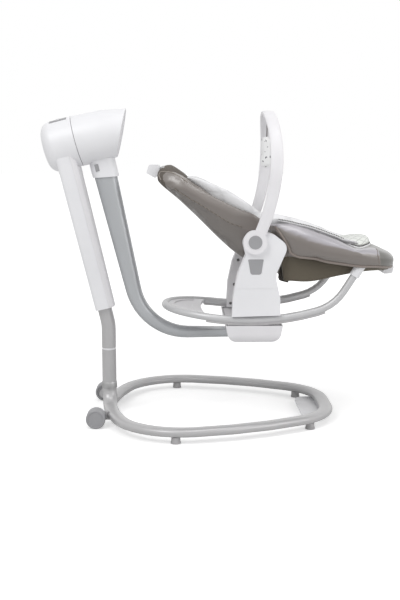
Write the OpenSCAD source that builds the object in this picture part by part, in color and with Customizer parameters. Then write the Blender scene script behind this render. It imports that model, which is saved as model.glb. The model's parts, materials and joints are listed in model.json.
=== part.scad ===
// Baby swing: a stand with a swing head, an arm and a rocker seat that lifts off.
// Millimetres. +X runs towards the baby's feet, -Y is the near side, +Z is up.
// The origin is on the floor under the middle of the whole swing.

/* [Base] */
// Width of the flat oval base tube
base_tube_w = 37; // [34:0.5:40]
// Height of the flat oval base tube
base_tube_h = 22; // [20:0.5:24]
// Wall of the base tube and stem
tube_wall = 1.5; // [1:0.1:2]
// Height of the base tube's underside over the floor
base_clear = 16; // [14:0.5:20]
// Place of the stem along the swing
stem_x = -300; // [-304:1:-298]
// Radius of the bends that rise from the base tube into the stem
yoke_r = 45; // [42:1:48]
// Diameter of a foot pad
foot_d = 25; // [20:1:30]
// Diameter of a wheel
wheel_d = 50; // [46:1:52]
// Width of a wheel
wheel_w = 36; // [30:1:36]
// Distance from the middle to a wheel's outer face
wheel_out = 162; // [161:1:170]
// Distance from the stem back to the wheel axle
wheel_back = 25; // [25:1:30]
// Diameter of the wheel axles
axle_d = 8; // [6:0.5:10]
// Length of the plate inside the front of the loop
plate_l = 68; // [60:1:76]
// Half width of that plate
plate_half = 105; // [80:1:110]
// Thickness of that plate
plate_t = 4; // [3:0.5:6]

/* [Stem] */
// Diameter of the stem tube
stem_d = 38; // [34:0.5:40]
// Height of the bright ring where the stem comes apart
ring_z = 178; // [165:1:185]
// Height of the bright ring itself
ring_h = 5; // [3:0.5:8]
// Height at which the stem leans back
bend_z = 246; // [240:1:252]
// Lean of the upper stem
stem_lean = 13.3; // [13:0.1:13.6]
// Start of the cover along the leaning stem
cover_s = 46; // [40:1:60]
// Width of the cover along the swing
cover_w = 51; // [49:0.5:54]
// Half depth of the cover at its foot
cover_half_low = 30; // [28:0.5:34]
// Half depth of the cover at the swing head
cover_half_top = 60; // [56:0.5:62]
// Wall of the moulded covers
skin = 2.5; // [2:0.1:3]

/* [Swing head] */
// Distance from the stem back to the middle of the head's seam
head_back = 75; // [73:0.5:77]
// Height of the middle of the head's seam
head_z = 733; // [729:1:737]
// Upward tilt of the swing axis
head_tilt = 14.5; // [14:0.1:15]
// Radius of the swing head
head_r = 65.8; // [65:0.1:67]
// Depth of the back shell
back_l = 86; // [86:0.5:90]
// Corner radius of the back shell
back_corner = 28; // [26:1:34]
// Gap at the seam between the fixed and the swinging shell
seam = 1.2; // [0.8:0.1:1.6]
// Length of the front shell at its lower edge
front_low = 90; // [88:1:92]
// Lean of the front shell's end face
face_lean = 10.7; // [10:0.1:11.4]
// Diameter of the swing shaft
shaft_d = 20; // [18:0.5:22]

/* [Arm] */
// Distance along the swing axis from the seam to the arm
arm_a = 51; // [49:0.5:53]
// Slope of the arm's upper part, from upright
arm_lean = 13; // [12.8:0.1:13.2]
// Height of the arm's middle where it meets the dock
arm_end_z = 224.7; // [224:0.1:226]
// Radius of the arm's bend
arm_bend_r = 150; // [146:1:154]
// Arm's width along the swing at its top
arm_w_top = 62; // [60:1:64]
// Arm's height where it meets the dock
arm_w_end = 24; // [22:0.5:26]
// Arm's depth across the swing at its top
arm_d_top = 42; // [38:1:44]
// Arm's depth across the swing at the dock
arm_d_end = 56; // [50:1:60]
// Wall of the arm
arm_wall = 2; // [1.6:0.1:2.4]
// Collar's length below the head
collar_l = 44; // [40:1:50]

/* [Dock] */
// Middle of the dock and the columns along the swing
dock_x = 82; // [80:0.5:84]
// Length of the dock at its top
dock_l = 145; // [138:1:150]
// Underside of the dock
dock_low = 221; // [219:0.5:223]

/* [Rocker] */
// Diameter of the rocker tube
rail_d = 19; // [18:0.5:20]
// Wall of the rocker tube
rail_wall = 1.5; // [1:0.1:2]
// Lowest point of the rail's middle along the swing
rail_x = 70; // [68:1:72]
// Height of the rail's middle there
rail_z = 281; // [280.5:0.5:282]
// Thickness of the rail pads
pad_t = 3.5; // [3:0.25:4]
// Radius of the rails' rocking curve
rail_r = 630; // [620:5:645]
// Rear rise of the rails
rear_tilt = 6.4; // [6:0.1:6.8]

/* [Seat] */
// Half width of the soft seat between the columns
seat_half = 121; // [118:0.5:122]
// Thickness of a column over both its shells
column_t = 39; // [37:0.5:41]
// Diameter of the seat frame tubes
frame_d = 16; // [14:0.5:18]
// Slope of the backrest over the horizontal
back_slope = 43; // [42:0.25:44]
// Length of the backrest frame
back_len = 312; // [306:1:318]

/* [Toy bar] */
// Height of the toy bar's pivot
bar_z = 482; // [480:0.5:484]
// Radius of the toy bar's hub
bar_hub_r = 30; // [28:0.5:31]
// Thickness of the toy bar's hub
bar_hub_t = 13; // [11:0.5:15]
// Diameter of the toy bar's pins
bar_pin_d = 14; // [12:0.5:16]
// Width of the toy bar's band
bar_w = 32; // [28:0.5:34]
// Thickness of the toy bar's band
bar_t = 12; // [10:0.5:14]
// Height of the toy bar's crown
bar_top = 812; // [800:1:818]

/* [Hidden] */
run_fit = 0.05;
slip = 0.3;
eps = 0.01;
$fn = 64;
loop_z = base_clear + base_tube_h / 2;
yoke_splay = 7;
loop_start = [stem_x + yoke_r * sin(yoke_splay), yoke_r * cos(yoke_splay)];
// Each arc of the half loop is a radius and a turn, from the stem to the front.
loop_arcs = [[545, 14], [174, 78.7], [800, 21], [163, 59.3]];
wheel_x = stem_x - wheel_back;
wheel_in = wheel_out - wheel_w;
// The rail's climb at the end of its rocking curve and at its tips.
rail_climb = [15.8, 57.5];
rail_bend_r = 118;
rail_end = 58;
dock_inset = 8;
// Half widths that follow from the soft seat and the columns.
column_in = seat_half + 5;
column_out = column_in + column_t;
rail_half = column_out - 17;
dock_half = column_out - 7;
seat_wide = column_out - 5;
dock_top = rail_z - rail_d / 2 - pad_t - slip;
pivot = [78, 448];
bar_x = 81;

// ---------- helpers ----------

function unit(v) = v / norm(v);
// Points of the arc that rounds the corner b between a and c.
function corner_arc(a, b, c, r, n) =
    let (u = unit(a - b), v = unit(c - b), half = acos(u * v) / 2,
         m = b + unit(u + v) * r / sin(half), p = b + u * r / tan(half), q = b + v * r / tan(half),
         a0 = atan2(p.y - m.y, p.x - m.x), a1 = atan2(q.y - m.y, q.x - m.x),
         sweep = (a1 - a0 + 540) % 360 - 180)
    [for (i = [0:n]) m + r * [cos(a0 + sweep * i / n), sin(a0 + sweep * i / n)]];
// An outline whose corners [x, y, radius] are rounded.
function rounded(pts, n = 6) =
    let (k = len(pts), xy = [for (p = pts) [p.x, p.y]])
    [for (i = [0:k - 1]) each pts[i][2] > 0
        ? corner_arc(xy[(i + k - 1) % k], xy[i], xy[(i + 1) % k], pts[i][2], n) : [xy[i]]];

// A bent bar: each leg is [length, radius, turn, roll], and it starts along +X.
module trail(legs, i = 0) {
    if (i < len(legs)) {
        leg = legs[i];
        if (leg[1] == 0) {
            rotate([90, 0, 90]) linear_extrude(leg[0]) children();
            translate([leg[0], 0, 0]) trail(legs, i + 1) children();
        } else {
            rotate([leg[3], 0, 0]) {
                translate([0, leg[1], 0]) rotate([0, 0, -90])
                    rotate_extrude(angle = leg[2]) translate([leg[1], 0]) children();
                translate([leg[1] * sin(leg[2]), leg[1] * (1 - cos(leg[2])), 0])
                    rotate([0, 0, leg[2]]) rotate([-leg[3], 0, 0]) trail(legs, i + 1) children();
            }
        }
    }
}

module both_sides() {
    children();
    mirror([0, 1, 0]) children();
}

module ring2d(d, wall) {
    difference() {
        circle(d = d);
        circle(d = d - 2 * wall);
    }
}

module oval2d(w, h) {
    square([w - h, h], center = true);
    for (s = [-1, 1]) translate([s * (w - h) / 2, 0]) circle(d = h);
}

module oval_ring2d(w, h, wall) {
    difference() {
        oval2d(w, h);
        oval2d(w - 2 * wall, h - 2 * wall);
    }
}

// A flat outline in the side view, as thick as from y0 to y1.
module side_plate(pts, y0, y1) {
    translate([0, y1, 0]) rotate([90, 0, 0]) linear_extrude(y1 - y0) polygon(pts);
}

// Frame of the leaning stem: +Z runs up along it.
module on_stem() {
    translate([stem_x, 0, bend_z]) rotate([0, -stem_lean, 0]) children();
}

// Frame of the swing head: +X runs forward along the swing axis.
module on_head() {
    translate([stem_x - head_back, 0, head_z]) rotate([0, -head_tilt, 0]) children();
}

// A turned piece about the swing axis from an outline in [radius, distance].
module turned() {
    rotate([0, 90, 0]) rotate_extrude() children();
}

// A box with round vertical edges.
module slab(x0, x1, half, z0, z1, r) {
    translate([0, 0, z0]) linear_extrude(z1 - z0)
        polygon(rounded([[x0, -half, r], [x1, -half, r], [x1, half, r], [x0, half, r]]));
}

// A ring of section points q round a spot [point, direction, up].
function ring3(spot, section) = let (side = cross(spot[2], spot[1]))
    [for (q = section) spot[0] + side * q.x + spot[2] * q.y];
function ellipse_pts(w, h, m, n = 2) =
    [for (j = [0:m - 1]) [w / 2 * super(cos(360 * j / m), n), h / 2 * super(sin(360 * j / m), n)]];
// The same spots seen in a mirror at y = 0 and walked the other way.
function mirrored(spots) = [for (i = [len(spots) - 1:-1:0]) let (s = spots[i])
    [[s[0].x, -s[0].y, s[0].z], [-s[1].x, s[1].y, -s[1].z], [s[2].x, -s[2].y, s[2].z]]];

// Side faces of a skin through closed rings of points, each as long as the next.
function skin_faces(n, m) = concat(
    [for (i = [0:n - 2]) for (j = [0:m - 1])
        [i * m + j, (i + 1) * m + j, (i + 1) * m + (j + 1) % m, i * m + (j + 1) % m]],
    [[for (j = [0:m - 1]) j], [for (j = [m - 1:-1:0]) (n - 1) * m + j]]);

module lofted(rings) {
    m = len(rings[0]);
    polyhedron([for (r = rings) each r], skin_faces(len(rings), m), convexity = 6);
}

// A tube swept along spots: the outer section, and the inner one past both ends.
module swept_tube(spots, outer, inner) {
    n = len(spots) - 1;
    first = [spots[0][0] - spots[0][1], spots[0][1], spots[0][2]];
    last = [spots[n][0] + spots[n][1], spots[n][1], spots[n][2]];
    difference() {
        lofted([for (s = spots) ring3(s, outer)]);
        lofted([for (s = concat([first], [for (i = [1:n - 1]) spots[i]], [last])) ring3(s, inner)]);
    }
}

function super(c, n) = sign(c) * pow(abs(c), 2 / n);

// ---------- base ----------

function heading(i) = i == 0 ? yoke_splay : heading(i - 1) + loop_arcs[i - 1][1];
function chord(r, h0, h1) = r * [cos(h0) - cos(h1), sin(h1) - sin(h0)];
function knot(i) = i == 0 ? loop_start
    : knot(i - 1) + chord(loop_arcs[i - 1][0], heading(i - 1), heading(i));
function on_loop(i, h) = knot(i) + chord(loop_arcs[i][0], heading(i), h);
loop_front = knot(4);

function loop_spot(i, h) = let (p = on_loop(i, h))
    [[p.x, p.y, loop_z], [sin(h), cos(h), 0], [0, 0, 1]];
half_loop_spots = concat([loop_spot(0, heading(0))],
    [for (i = [0:3]) let (n = ceil(loop_arcs[i][1] / 9)) for (k = [1:n])
        loop_spot(i, heading(i) + loop_arcs[i][1] * k / n)]);
loop_spots = concat(half_loop_spots, mirrored(half_loop_spots));

module base_loop() {
    color([0.68, 0.68, 0.67]) swept_tube(loop_spots, ellipse_pts(base_tube_w, base_tube_h, 18, 2.6),
        ellipse_pts(base_tube_w - 2 * tube_wall, base_tube_h - 2 * tube_wall, 18, 2.6));
}

// The bend from the loop up into the stem goes from the flat oval to the round tube.
function yoke_spot(t) = [
    [stem_x + yoke_r * (1 - sin(t)) * sin(yoke_splay), yoke_r * (1 - sin(t)) * cos(yoke_splay),
        loop_z + yoke_r * (1 - cos(t))],
    [-cos(t) * sin(yoke_splay), -cos(t) * cos(yoke_splay), sin(t)],
    [sin(t) * sin(yoke_splay), sin(t) * cos(yoke_splay), cos(t)]];

module yoke_bend() {
    lofted([for (t = [0:10:90]) ring3(yoke_spot(t), ellipse_pts(blend(t / 90, base_tube_w, stem_d),
        blend(t / 90, base_tube_h, stem_d - 2), 24, blend(t / 90, 2.6, 2)))]);
}

module stem_yoke() {
    color([0.68, 0.68, 0.67]) both_sides() yoke_bend();
}

stem_foot = loop_z + yoke_r;

module stem_socket() {
    color([0.68, 0.68, 0.67]) translate([stem_x, 0, stem_foot]) difference() {
        union() {
            cylinder(d = stem_d + 3, h = 14);
            translate([0, 0, 14]) cylinder(d1 = stem_d + 3, d2 = stem_d + 1, h = 3);
        }
        translate([0, 0, 3]) cylinder(d = stem_d, h = 20);
    }
}

module stem_lower() {
    color([0.68, 0.68, 0.68]) translate([stem_x, 0, stem_foot + 3])
        linear_extrude(ring_z - stem_foot - 3) ring2d(stem_d, tube_wall);
}

module stem_ring() {
    spigot_r = stem_d / 2 - tube_wall - 0.2;
    color([0.86, 0.86, 0.86]) translate([stem_x, 0, ring_z]) difference() {
        union() {
            cylinder(r = stem_d / 2 - 0.8, h = ring_h);
            translate([0, 0, -28]) cylinder(r = spigot_r, h = 56 + ring_h);
        }
        translate([0, 0, -29]) cylinder(r = spigot_r - 2.5, h = 58 + ring_h);
    }
}

stem_bend_r = 130;
stem_bend_t = stem_bend_r * tan(stem_lean / 2);
// Where the swing axis crosses the stem's middle line, and the stem's end below it.
head_s = (head_back * sin(head_tilt) + (head_z - bend_z) * cos(head_tilt)) / cos(stem_lean - head_tilt);
head_on_stem = head_s - 30.4;

function stem_spot(t) = let (c = [stem_x - stem_bend_r, bend_z - stem_bend_t])
    [[c.x + stem_bend_r * cos(t), 0, c.y + stem_bend_r * sin(t)], [-sin(t), 0, cos(t)], [-cos(t), 0, -sin(t)]];
function along(spot, d) = [spot[0] + d * spot[1], spot[1], spot[2]];
stem_spots = concat([along(stem_spot(0), ring_z + ring_h - bend_z + stem_bend_t)],
    [for (k = [0:4]) stem_spot(stem_lean * k / 4)], [along(stem_spot(stem_lean), head_on_stem - stem_bend_t)]);

module stem_upper() {
    color([0.68, 0.68, 0.68]) swept_tube(stem_spots, ellipse_pts(stem_d, stem_d, 28),
        ellipse_pts(stem_d - 2 * tube_wall, stem_d - 2 * tube_wall, 28));
}

foot_spots = [on_loop(1, 84), on_loop(3, 131)];

module floor_feet() {
    color([0.35, 0.35, 0.36]) both_sides() for (p = foot_spots)
        translate([p.x, p.y, 0]) {
            cylinder(d = foot_d, h = 4);
            translate([0, 0, 4]) cylinder(d1 = foot_d - 1.5, d2 = foot_d - 3, h = base_clear - 4);
        }
}

module base_plate() {
    color([0.93, 0.93, 0.93]) slab(loop_front.x - plate_l, loop_front.x - 2, plate_half,
        base_clear - plate_t, base_clear, 30);
}

module wheel_bracket_blank() {
    translate([wheel_x, wheel_in - 1, wheel_d / 2]) rotate([90, 0, 0]) cylinder(d = 26, h = 12);
    translate([wheel_x, wheel_in - 13, wheel_d / 2 - 10]) cube([44, 12, 22]);
}

module wheel_brackets() {
    color([0.62, 0.62, 0.63]) both_sides() difference() {
        wheel_bracket_blank();
        translate([loop_start.x, loop_start.y, loop_z]) rotate([0, 0, 90 - yoke_splay]) mirror([0, 1, 0])
            translate([0, loop_arcs[0][0], 0]) rotate([0, 0, -90]) rotate_extrude(angle = loop_arcs[0][1] + 2)
                translate([loop_arcs[0][0], 0]) oval2d(base_tube_w + 0.4, base_tube_h + 0.4);
        translate([wheel_x, wheel_in, wheel_d / 2]) rotate([90, 0, 0]) cylinder(d = axle_d, h = 20);
    }
}

module wheel_axles() {
    color([0.75, 0.75, 0.76]) both_sides() translate([wheel_x, wheel_out - 6, wheel_d / 2])
        rotate([90, 0, 0]) cylinder(d = axle_d, h = wheel_w + 7);
}

module wheel() {
    r = wheel_d / 2;
    color([0.5, 0.5, 0.51]) translate([wheel_x, wheel_out, r]) rotate([90, 0, 0]) difference() {
        rotate_extrude() polygon(rounded([[0, 1.5, 0], [r - 6, 1.5, 0], [r - 5, 0, 0], [r, 0, 3],
            [r, wheel_w, 3], [r - 5, wheel_w, 0], [r - 6, wheel_w - 3, 0], [0, wheel_w - 3, 0]]));
        translate([0, 0, 5.5]) cylinder(r = axle_d / 2 + run_fit, h = wheel_w);
    }
}

module wheel_left() { wheel(); }

module wheel_right() { mirror([0, 1, 0]) wheel(); }

// ---------- stem cover ----------

cover_back = -22.5;
cover_seam = cover_back + 37;
cover_front = cover_back + cover_w;
cover_top = 500;

// Outline of the cover across the stem, with a chamfered front.
module cover_slice(half, grow) {
    x0 = cover_back - grow;
    x1 = cover_front + grow;
    h = half + grow;
    linear_extrude(eps) polygon(rounded([[x0, -h, 9], [cover_seam + 2, -h, 4], [x1, -h + 11, 7],
        [x1, h - 11, 7], [cover_seam + 2, h, 4], [x0, h, 9]], 5));
}

module cover_body(grow) {
    hull() {
        translate([0, 0, cover_s - grow]) cover_slice(cover_half_low, grow);
        translate([0, 0, cover_top]) cover_slice(cover_half_top, grow);
    }
}

module cover_shell() {
    difference() {
        cover_body(0);
        cover_body(-skin);
        translate([0, 0, cover_s - 1]) cylinder(d = stem_d + 1, h = 10);
    }
}

// Takes what lies in the swing head off a piece of the cover.
module clear_of_head() {
    difference() {
        children();
        on_head() translate([-seam / 2, 0, 0]) turned() translate([0, -back_l]) square([head_r + 0.1, back_l + 20]);
    }
}

module stem_cover_rear() {
    color([0.93, 0.93, 0.93]) clear_of_head() on_stem() difference() {
        cover_shell();
        translate([cover_seam, -100, 0]) cube([100, 200, 600]);
    }
}

module stem_cover_front() {
    color([0.9, 0.9, 0.9]) clear_of_head() on_stem() difference() {
        cover_shell();
        translate([cover_seam - 100, -100, 0]) cube([100 + slip, 200, 600]);
    }
}

// ---------- swing head, fixed part ----------

// Half section of a domed can in [radius, distance], open at distance 0.
module can2d(r, l, c) {
    translate([0, -l]) square([r - c, l]);
    translate([0, -l + c]) square([r, l - c]);
    translate([r - c, -l + c]) intersection() {
        circle(r = c);
        translate([0, -c]) square([c, c]);
    }
}

module back_can(grow) {
    turned() can2d(head_r + grow, back_l + grow, back_corner + grow);
}

panel_a = -34;
panel_l = 46;
panel_half = 27;

module panel_window(gap) {
    translate([panel_a - panel_l / 2 - gap, -panel_half - gap, head_r - 12])
        cube([panel_l + 2 * gap, 2 * (panel_half + gap), 40]);
}

module head_back_shell() {
    color([0.93, 0.93, 0.93]) difference() {
        on_head() difference() {
            translate([-seam / 2, 0, 0]) back_can(0);
            turned() translate([0, eps - seam / 2]) can2d(head_r - skin, back_l - skin + eps, back_corner - skin);
            panel_window(slip);
            translate([-back_l, 0, -26]) rotate([0, 90, 0]) cylinder(d = 12, h = 20, center = true);
        }
        on_stem() cylinder(d = stem_d + 1, h = head_on_stem);
    }
}

housing_a = [-64, -14];

module pivot_housing() {
    color([0.55, 0.56, 0.58]) difference() {
        union() {
            on_head() turned() translate([0, housing_a[0]]) square([21, housing_a[1] - housing_a[0]]);
            intersection() {
                on_stem() translate([0, 0, head_on_stem - 34]) cylinder(d = stem_d + 5, h = 50);
                on_head() turned() can2d(head_r - skin - slip, back_l - skin - slip, back_corner - skin - slip);
            }
        }
        on_stem() cylinder(d = stem_d, h = head_on_stem);
        on_head() turned() translate([0, housing_a[0] - 1]) square([14, 60]);
    }
}

module shaft_bearings() {
    color([0.78, 0.78, 0.8]) on_head() for (a = [housing_a[0], housing_a[1] - 12])
        turned() translate([shaft_d / 2 + run_fit, a]) square([14 - shaft_d / 2 - run_fit, 12]);
}

coil_t = 5;
coil_a = -back_l + skin + 1.1;
shaft_back = coil_a + coil_t + 1.4;

module drive_coil() {
    color([0.72, 0.42, 0.2]) on_head() translate([coil_a, 0, 24]) rotate([0, 90, 0])
        linear_extrude(coil_t) ring2d(20, 6);
}

module circuit_board() {
    color([0.15, 0.4, 0.25]) on_head()
        translate([panel_a - panel_l / 2 + 2 + slip, -panel_half + 2 + slip, head_r - 13.5])
            cube([panel_l - 4 - 2 * slip, 2 * panel_half - 4 - 2 * slip, 1.6]);
}

button_spots = [-15, 0, 15];
button_d = 10;

module control_panel() {
    color([0.5, 0.5, 0.51]) on_head() difference() {
        intersection() {
            translate([panel_a - panel_l / 2, -panel_half, head_r - 12]) cube([panel_l, 2 * panel_half, 20]);
            translate([panel_a - panel_l, 0, 0]) rotate([0, 90, 0]) cylinder(r = head_r + 0.6, h = 2 * panel_l, $fn = 256);
        }
        translate([panel_a - panel_l / 2 + 2, -panel_half + 2, head_r - 13])
            cube([panel_l - 4, 2 * panel_half - 4, 9]);
        for (y = button_spots) translate([panel_a, y, head_r - 10])
            cylinder(d = button_d + 2 * slip, h = 20);
    }
}

module panel_button(y) {
    rest = head_r - 10.6;
    color([0.85, 0.85, 0.86]) on_head() translate([panel_a, y, rest])
        cylinder(d = button_d, h = sqrt(pow(head_r, 2) - y * y) + 1.8 - rest);
}

module speed_button() { panel_button(button_spots[0]); }

module timer_button() { panel_button(button_spots[1]); }

module melody_button() { panel_button(button_spots[2]); }

module power_inlet() {
    color([0.12, 0.12, 0.12]) on_head() translate([-back_l - seam / 2, 0, -26]) rotate([0, 90, 0]) difference() {
        cylinder(d = 12, h = 3);
        translate([0, 0, -1]) cylinder(d = 6.5, h = 3);
    }
}

// ---------- swing head, swinging part ----------

module pivot_shaft() {
    color([0.75, 0.75, 0.77]) on_head() turned() translate([0, shaft_back])
        square([shaft_d / 2, arm_a + 24 - shaft_back]);
}

module drive_magnet() {
    color([0.4, 0.4, 0.42]) on_head() difference() {
        union() {
            translate([shaft_back + 1, 0, 0]) rotate([0, 90, 0]) cylinder(d = 26, h = 4);
            translate([shaft_back + 1, -8, 0]) cube([4, 16, 24]);
            translate([shaft_back - 1, 0, 24]) rotate([0, 90, 0]) cylinder(d = 18, h = 6);
        }
        translate([shaft_back - 2, 0, 0]) rotate([0, 90, 0]) cylinder(d = shaft_d, h = 10);
    }
}

front_mid = 84;
front_len = 152;

// Section of the front shell at a distance along the swing axis.
module front_slice(a, r, drop) {
    translate([a, 0, -drop]) rotate([0, 90, 0]) cylinder(r = r, h = eps, $fn = 56);
}

module front_body(grow) {
    hull() {
        front_slice(seam / 2, head_r + grow, 0);
        front_slice(20, head_r + grow, 0.6);
        front_slice(front_mid, head_r - 1.8 + grow, 2.6);
        front_slice(front_len, head_r - 12.8 + grow, 5.6);
    }
}

// Half space in front of the shell's leaning end face, moved in by d.
module past_face(d) {
    translate([front_low, 0, -head_r - 1]) rotate([0, head_tilt + face_lean, 0])
        translate([-d, -150, -60]) cube([200, 300, 300]);
}

module head_front_shell() {
    color([0.93, 0.93, 0.93]) on_head() difference() {
        front_body(0);
        front_body(-skin);
        translate([-1, 0, 0]) rotate([0, 90, 0]) cylinder(r = head_r - skin, h = 3);
        past_face(0);
        arm_axis() translate([-19, -14, -90]) cube([38, 28, 60]);
    }
}

module head_front_cap() {
    color([0.6, 0.61, 0.63]) on_head() intersection() {
        front_body(-skin - slip);
        difference() {
            past_face(5.6);
            past_face(1.5);
        }
    }
}

// Frame of the arm's upper part: +Z runs up along it, from the swing axis.
module arm_axis() {
    translate([arm_a, 0, 0]) rotate([0, head_tilt - arm_lean, 0]) children();
}

module arm_hanger() {
    color([0.55, 0.56, 0.58]) on_head() difference() {
        union() {
            translate([arm_a - 22, 0, 0]) rotate([0, 90, 0]) cylinder(r = 17, h = 44);
            arm_axis() translate([-18, -13, -78]) cube([36, 26, 70]);
            arm_axis() translate([0, 0, -arm_top_s - 36]) linear_extrude(38)
                polygon(ellipse_pts(arm_w_top - 2 * arm_wall - 3.4, arm_d_top - 2 * arm_wall - 0.6, 28, 2.6));
        }
        translate([arm_a - 30, 0, 0]) rotate([0, 90, 0]) cylinder(d = shaft_d, h = 60);
    }
}

// The collar ends level, while the arm leans.
collar_low = 65 + collar_l;
collar_skew = 9;

module arm_collar() {
    color([0.93, 0.93, 0.93]) on_head() difference() {
        arm_axis() difference() {
            translate([0, 0, -collar_low - 10]) linear_extrude(collar_l + 18) oval2d(arm_w_top + 7, arm_d_top + 8);
            translate([0, 0, -collar_low - 11]) linear_extrude(collar_l + 20) oval2d(arm_w_top + 1, arm_d_top + 2);
            translate([0, 0, -collar_low]) rotate([0, collar_skew, 0]) translate([-60, -60, -40]) cube([120, 120, 40]);
            button_window(-40);
        }
        front_body(0.2);
    }
}

// The window that the release button moves in, from y on, through the collar or the arm's wall.
module button_window(y) {
    translate([-21, y, -90]) cube([10.6, 30, 18.6]);
}

module arm_release_button() {
    color([0.45, 0.45, 0.46]) on_head() arm_axis()
        translate([-20.7, -arm_d_top / 2 - 5, -89.7]) cube([10, 4, 18]);
}

// The arm's middle line: [distance along, x, z, heading below the horizontal].
arm_pivot = [stem_x - head_back + arm_a * cos(head_tilt), head_z + arm_a * sin(head_tilt)];
arm_top_s = 76;
arm_bend_z = arm_end_z + arm_bend_r * (1 - sin(arm_lean));
arm_straight = (arm_pivot.y - arm_bend_z) / cos(arm_lean);
arm_turn = 90 - arm_lean;
arm_bend_l = arm_bend_r * arm_turn * PI / 180;
arm_bend = arm_pivot + arm_straight * [sin(arm_lean), -cos(arm_lean)];
arm_low = arm_bend + arm_bend_r * [cos(arm_lean) - 0, -1 + sin(arm_lean)];
arm_end_s = arm_straight + arm_bend_l + dock_x + 34 - arm_low.x;
function arm_point(s) =
    s < arm_straight ? arm_pivot + s * [sin(arm_lean), -cos(arm_lean)]
    : s < arm_straight + arm_bend_l
        ? let (h = arm_turn - (s - arm_straight) / arm_bend_r * 180 / PI)
            arm_bend + arm_bend_r * [sin(arm_turn) - sin(h), cos(arm_turn) - cos(h)]
    : arm_low + [s - arm_straight - arm_bend_l, 0];
function arm_heading(s) = max(0, min(arm_turn, arm_turn - (s - arm_straight) / arm_bend_r * 180 / PI));
function blend(t, a, b) = a + (b - a) * max(0, min(1, t));
function arm_w(s) = s < arm_straight ? blend((s - arm_top_s) / (arm_straight - arm_top_s), arm_w_top, 42)
    : blend((s - arm_straight) / (arm_end_s - arm_straight - 90), 42, arm_w_end);
function arm_d(s) = blend((s - arm_top_s) / (arm_end_s - arm_top_s), arm_d_top, arm_d_end);
function arm_spot(s) = let (p = arm_point(s), h = arm_heading(s))
    [[p.x, 0, p.y], [cos(h), 0, -sin(h)], [sin(h), 0, cos(h)]];
function arm_ring(s, grow) = ring3(arm_spot(s), ellipse_pts(arm_d(s) + 2 * grow, arm_w(s) + 2 * grow, 24, 2.6));
arm_steps = concat([arm_top_s], [for (i = [1:3]) arm_top_s + i * (arm_straight - arm_top_s) / 4],
    [for (i = [0:12]) arm_straight + i * arm_bend_l / 12], [arm_end_s - 50, arm_end_s]);

module swing_arm() {
    color([0.66, 0.67, 0.69]) difference() {
        lofted([for (s = arm_steps) arm_ring(s, 0)]);
        lofted([for (s = concat([arm_top_s - 1], [for (i = [1:len(arm_steps) - 2]) arm_steps[i]], [arm_end_s + 1]))
            arm_ring(s, -arm_wall)]);
        on_head() arm_axis() button_window(-30 - arm_d_top / 2 + 7);
    }
}

// ---------- dock ----------

dock_x0 = dock_x - dock_l / 2;
dock_x1 = dock_x + dock_l / 2;

module dock_side(grow) {
    side_plate(rounded([[dock_x0 - grow, dock_top, 0], [dock_x0 + dock_inset - grow, dock_low - grow, 30 + grow],
        [dock_x1 - dock_inset + grow, dock_low - grow, 30 + grow], [dock_x1 + grow, dock_top, 0]], 8),
        -dock_half - grow, dock_half + grow);
}

module dock_end(grow) {
    h = dock_half + grow;
    translate([dock_x0 - 20, 0, 0]) rotate([90, 0, 90]) linear_extrude(dock_l + 40)
        polygon(rounded([[-h, dock_top + 1, 0], [-h + 6, dock_low - grow, 26 + grow],
            [h - 6, dock_low - grow, 26 + grow], [h, dock_top + 1, 0]], 8));
}

module dock_bowl() {
    color([0.93, 0.93, 0.93]) difference() {
        intersection() {
            dock_side(0);
            dock_end(0);
        }
        translate([0, 0, eps]) intersection() {
            dock_side(-3);
            dock_end(-3);
        }
        lofted([for (s = [arm_end_s - 140, arm_end_s + 1]) arm_ring(s, 0.2)]);
    }
}

module dock_plate() {
    color([0.9, 0.9, 0.9]) slab(dock_x0 + 5, dock_x1 - 5, dock_half - 4, dock_top - 6, dock_top - 2, 12);
}

// ---------- rocker ----------

// A spot on the rail's rocking curve, and on the bend after it, at a climb of c degrees.
function rocking_point(c) = [rail_x + rail_r * sin(c), rail_z + rail_r * (1 - cos(c))];
function rail_point(c) = c <= rail_climb[0] ? rocking_point(c)
    : rocking_point(rail_climb[0]) + rail_bend_r * [sin(c) - sin(rail_climb[0]), cos(rail_climb[0]) - cos(c)];
rail_join = rocking_point(-rear_tilt);
rail_tail = rail_join + rail_half * [-cos(rear_tilt), sin(rear_tilt)];
rail_bend = rail_point(rail_climb[1]);
rail_tip = rail_bend + rail_end * [cos(rail_climb[1]), sin(rail_climb[1])];
function side_spot(p, c) = [[p.x, -rail_half, p.y], [cos(c), 0, sin(c)], [-sin(c), 0, cos(c)]];
function tail_spot(t) = let (f = rail_half * (1 - cos(t)))
    [[rail_tail.x + f * cos(rear_tilt), -rail_half * sin(t), rail_tail.y - f * sin(rear_tilt)],
     [sin(t) * cos(rear_tilt), -cos(t), -sin(t) * sin(rear_tilt)], [sin(rear_tilt), 0, cos(rear_tilt)]];
half_rail_spots = concat([for (t = [7.5:7.5:90]) tail_spot(t)],
    [for (c = [-3.5, 0, 4, 8, 12, rail_climb[0]]) side_spot(rail_point(c), c)],
    [for (k = [1:5]) let (c = rail_climb[0] + (rail_climb[1] - rail_climb[0]) * k / 5) side_spot(rail_point(c), c)],
    [side_spot(rail_tip, rail_climb[1])]);
rail_spots = concat(mirrored(half_rail_spots), [tail_spot(0)], half_rail_spots);

module rocker_rail() {
    color([0.68, 0.68, 0.69]) difference() {
        swept_tube(rail_spots, ellipse_pts(rail_d, rail_d, 14),
            ellipse_pts(rail_d - 2 * rail_wall, rail_d - 2 * rail_wall, 14));
        both_sides() at_screws() translate([0, 0, 4]) cylinder(d = screw_d + 0.2, h = 20);
    }
}

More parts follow.
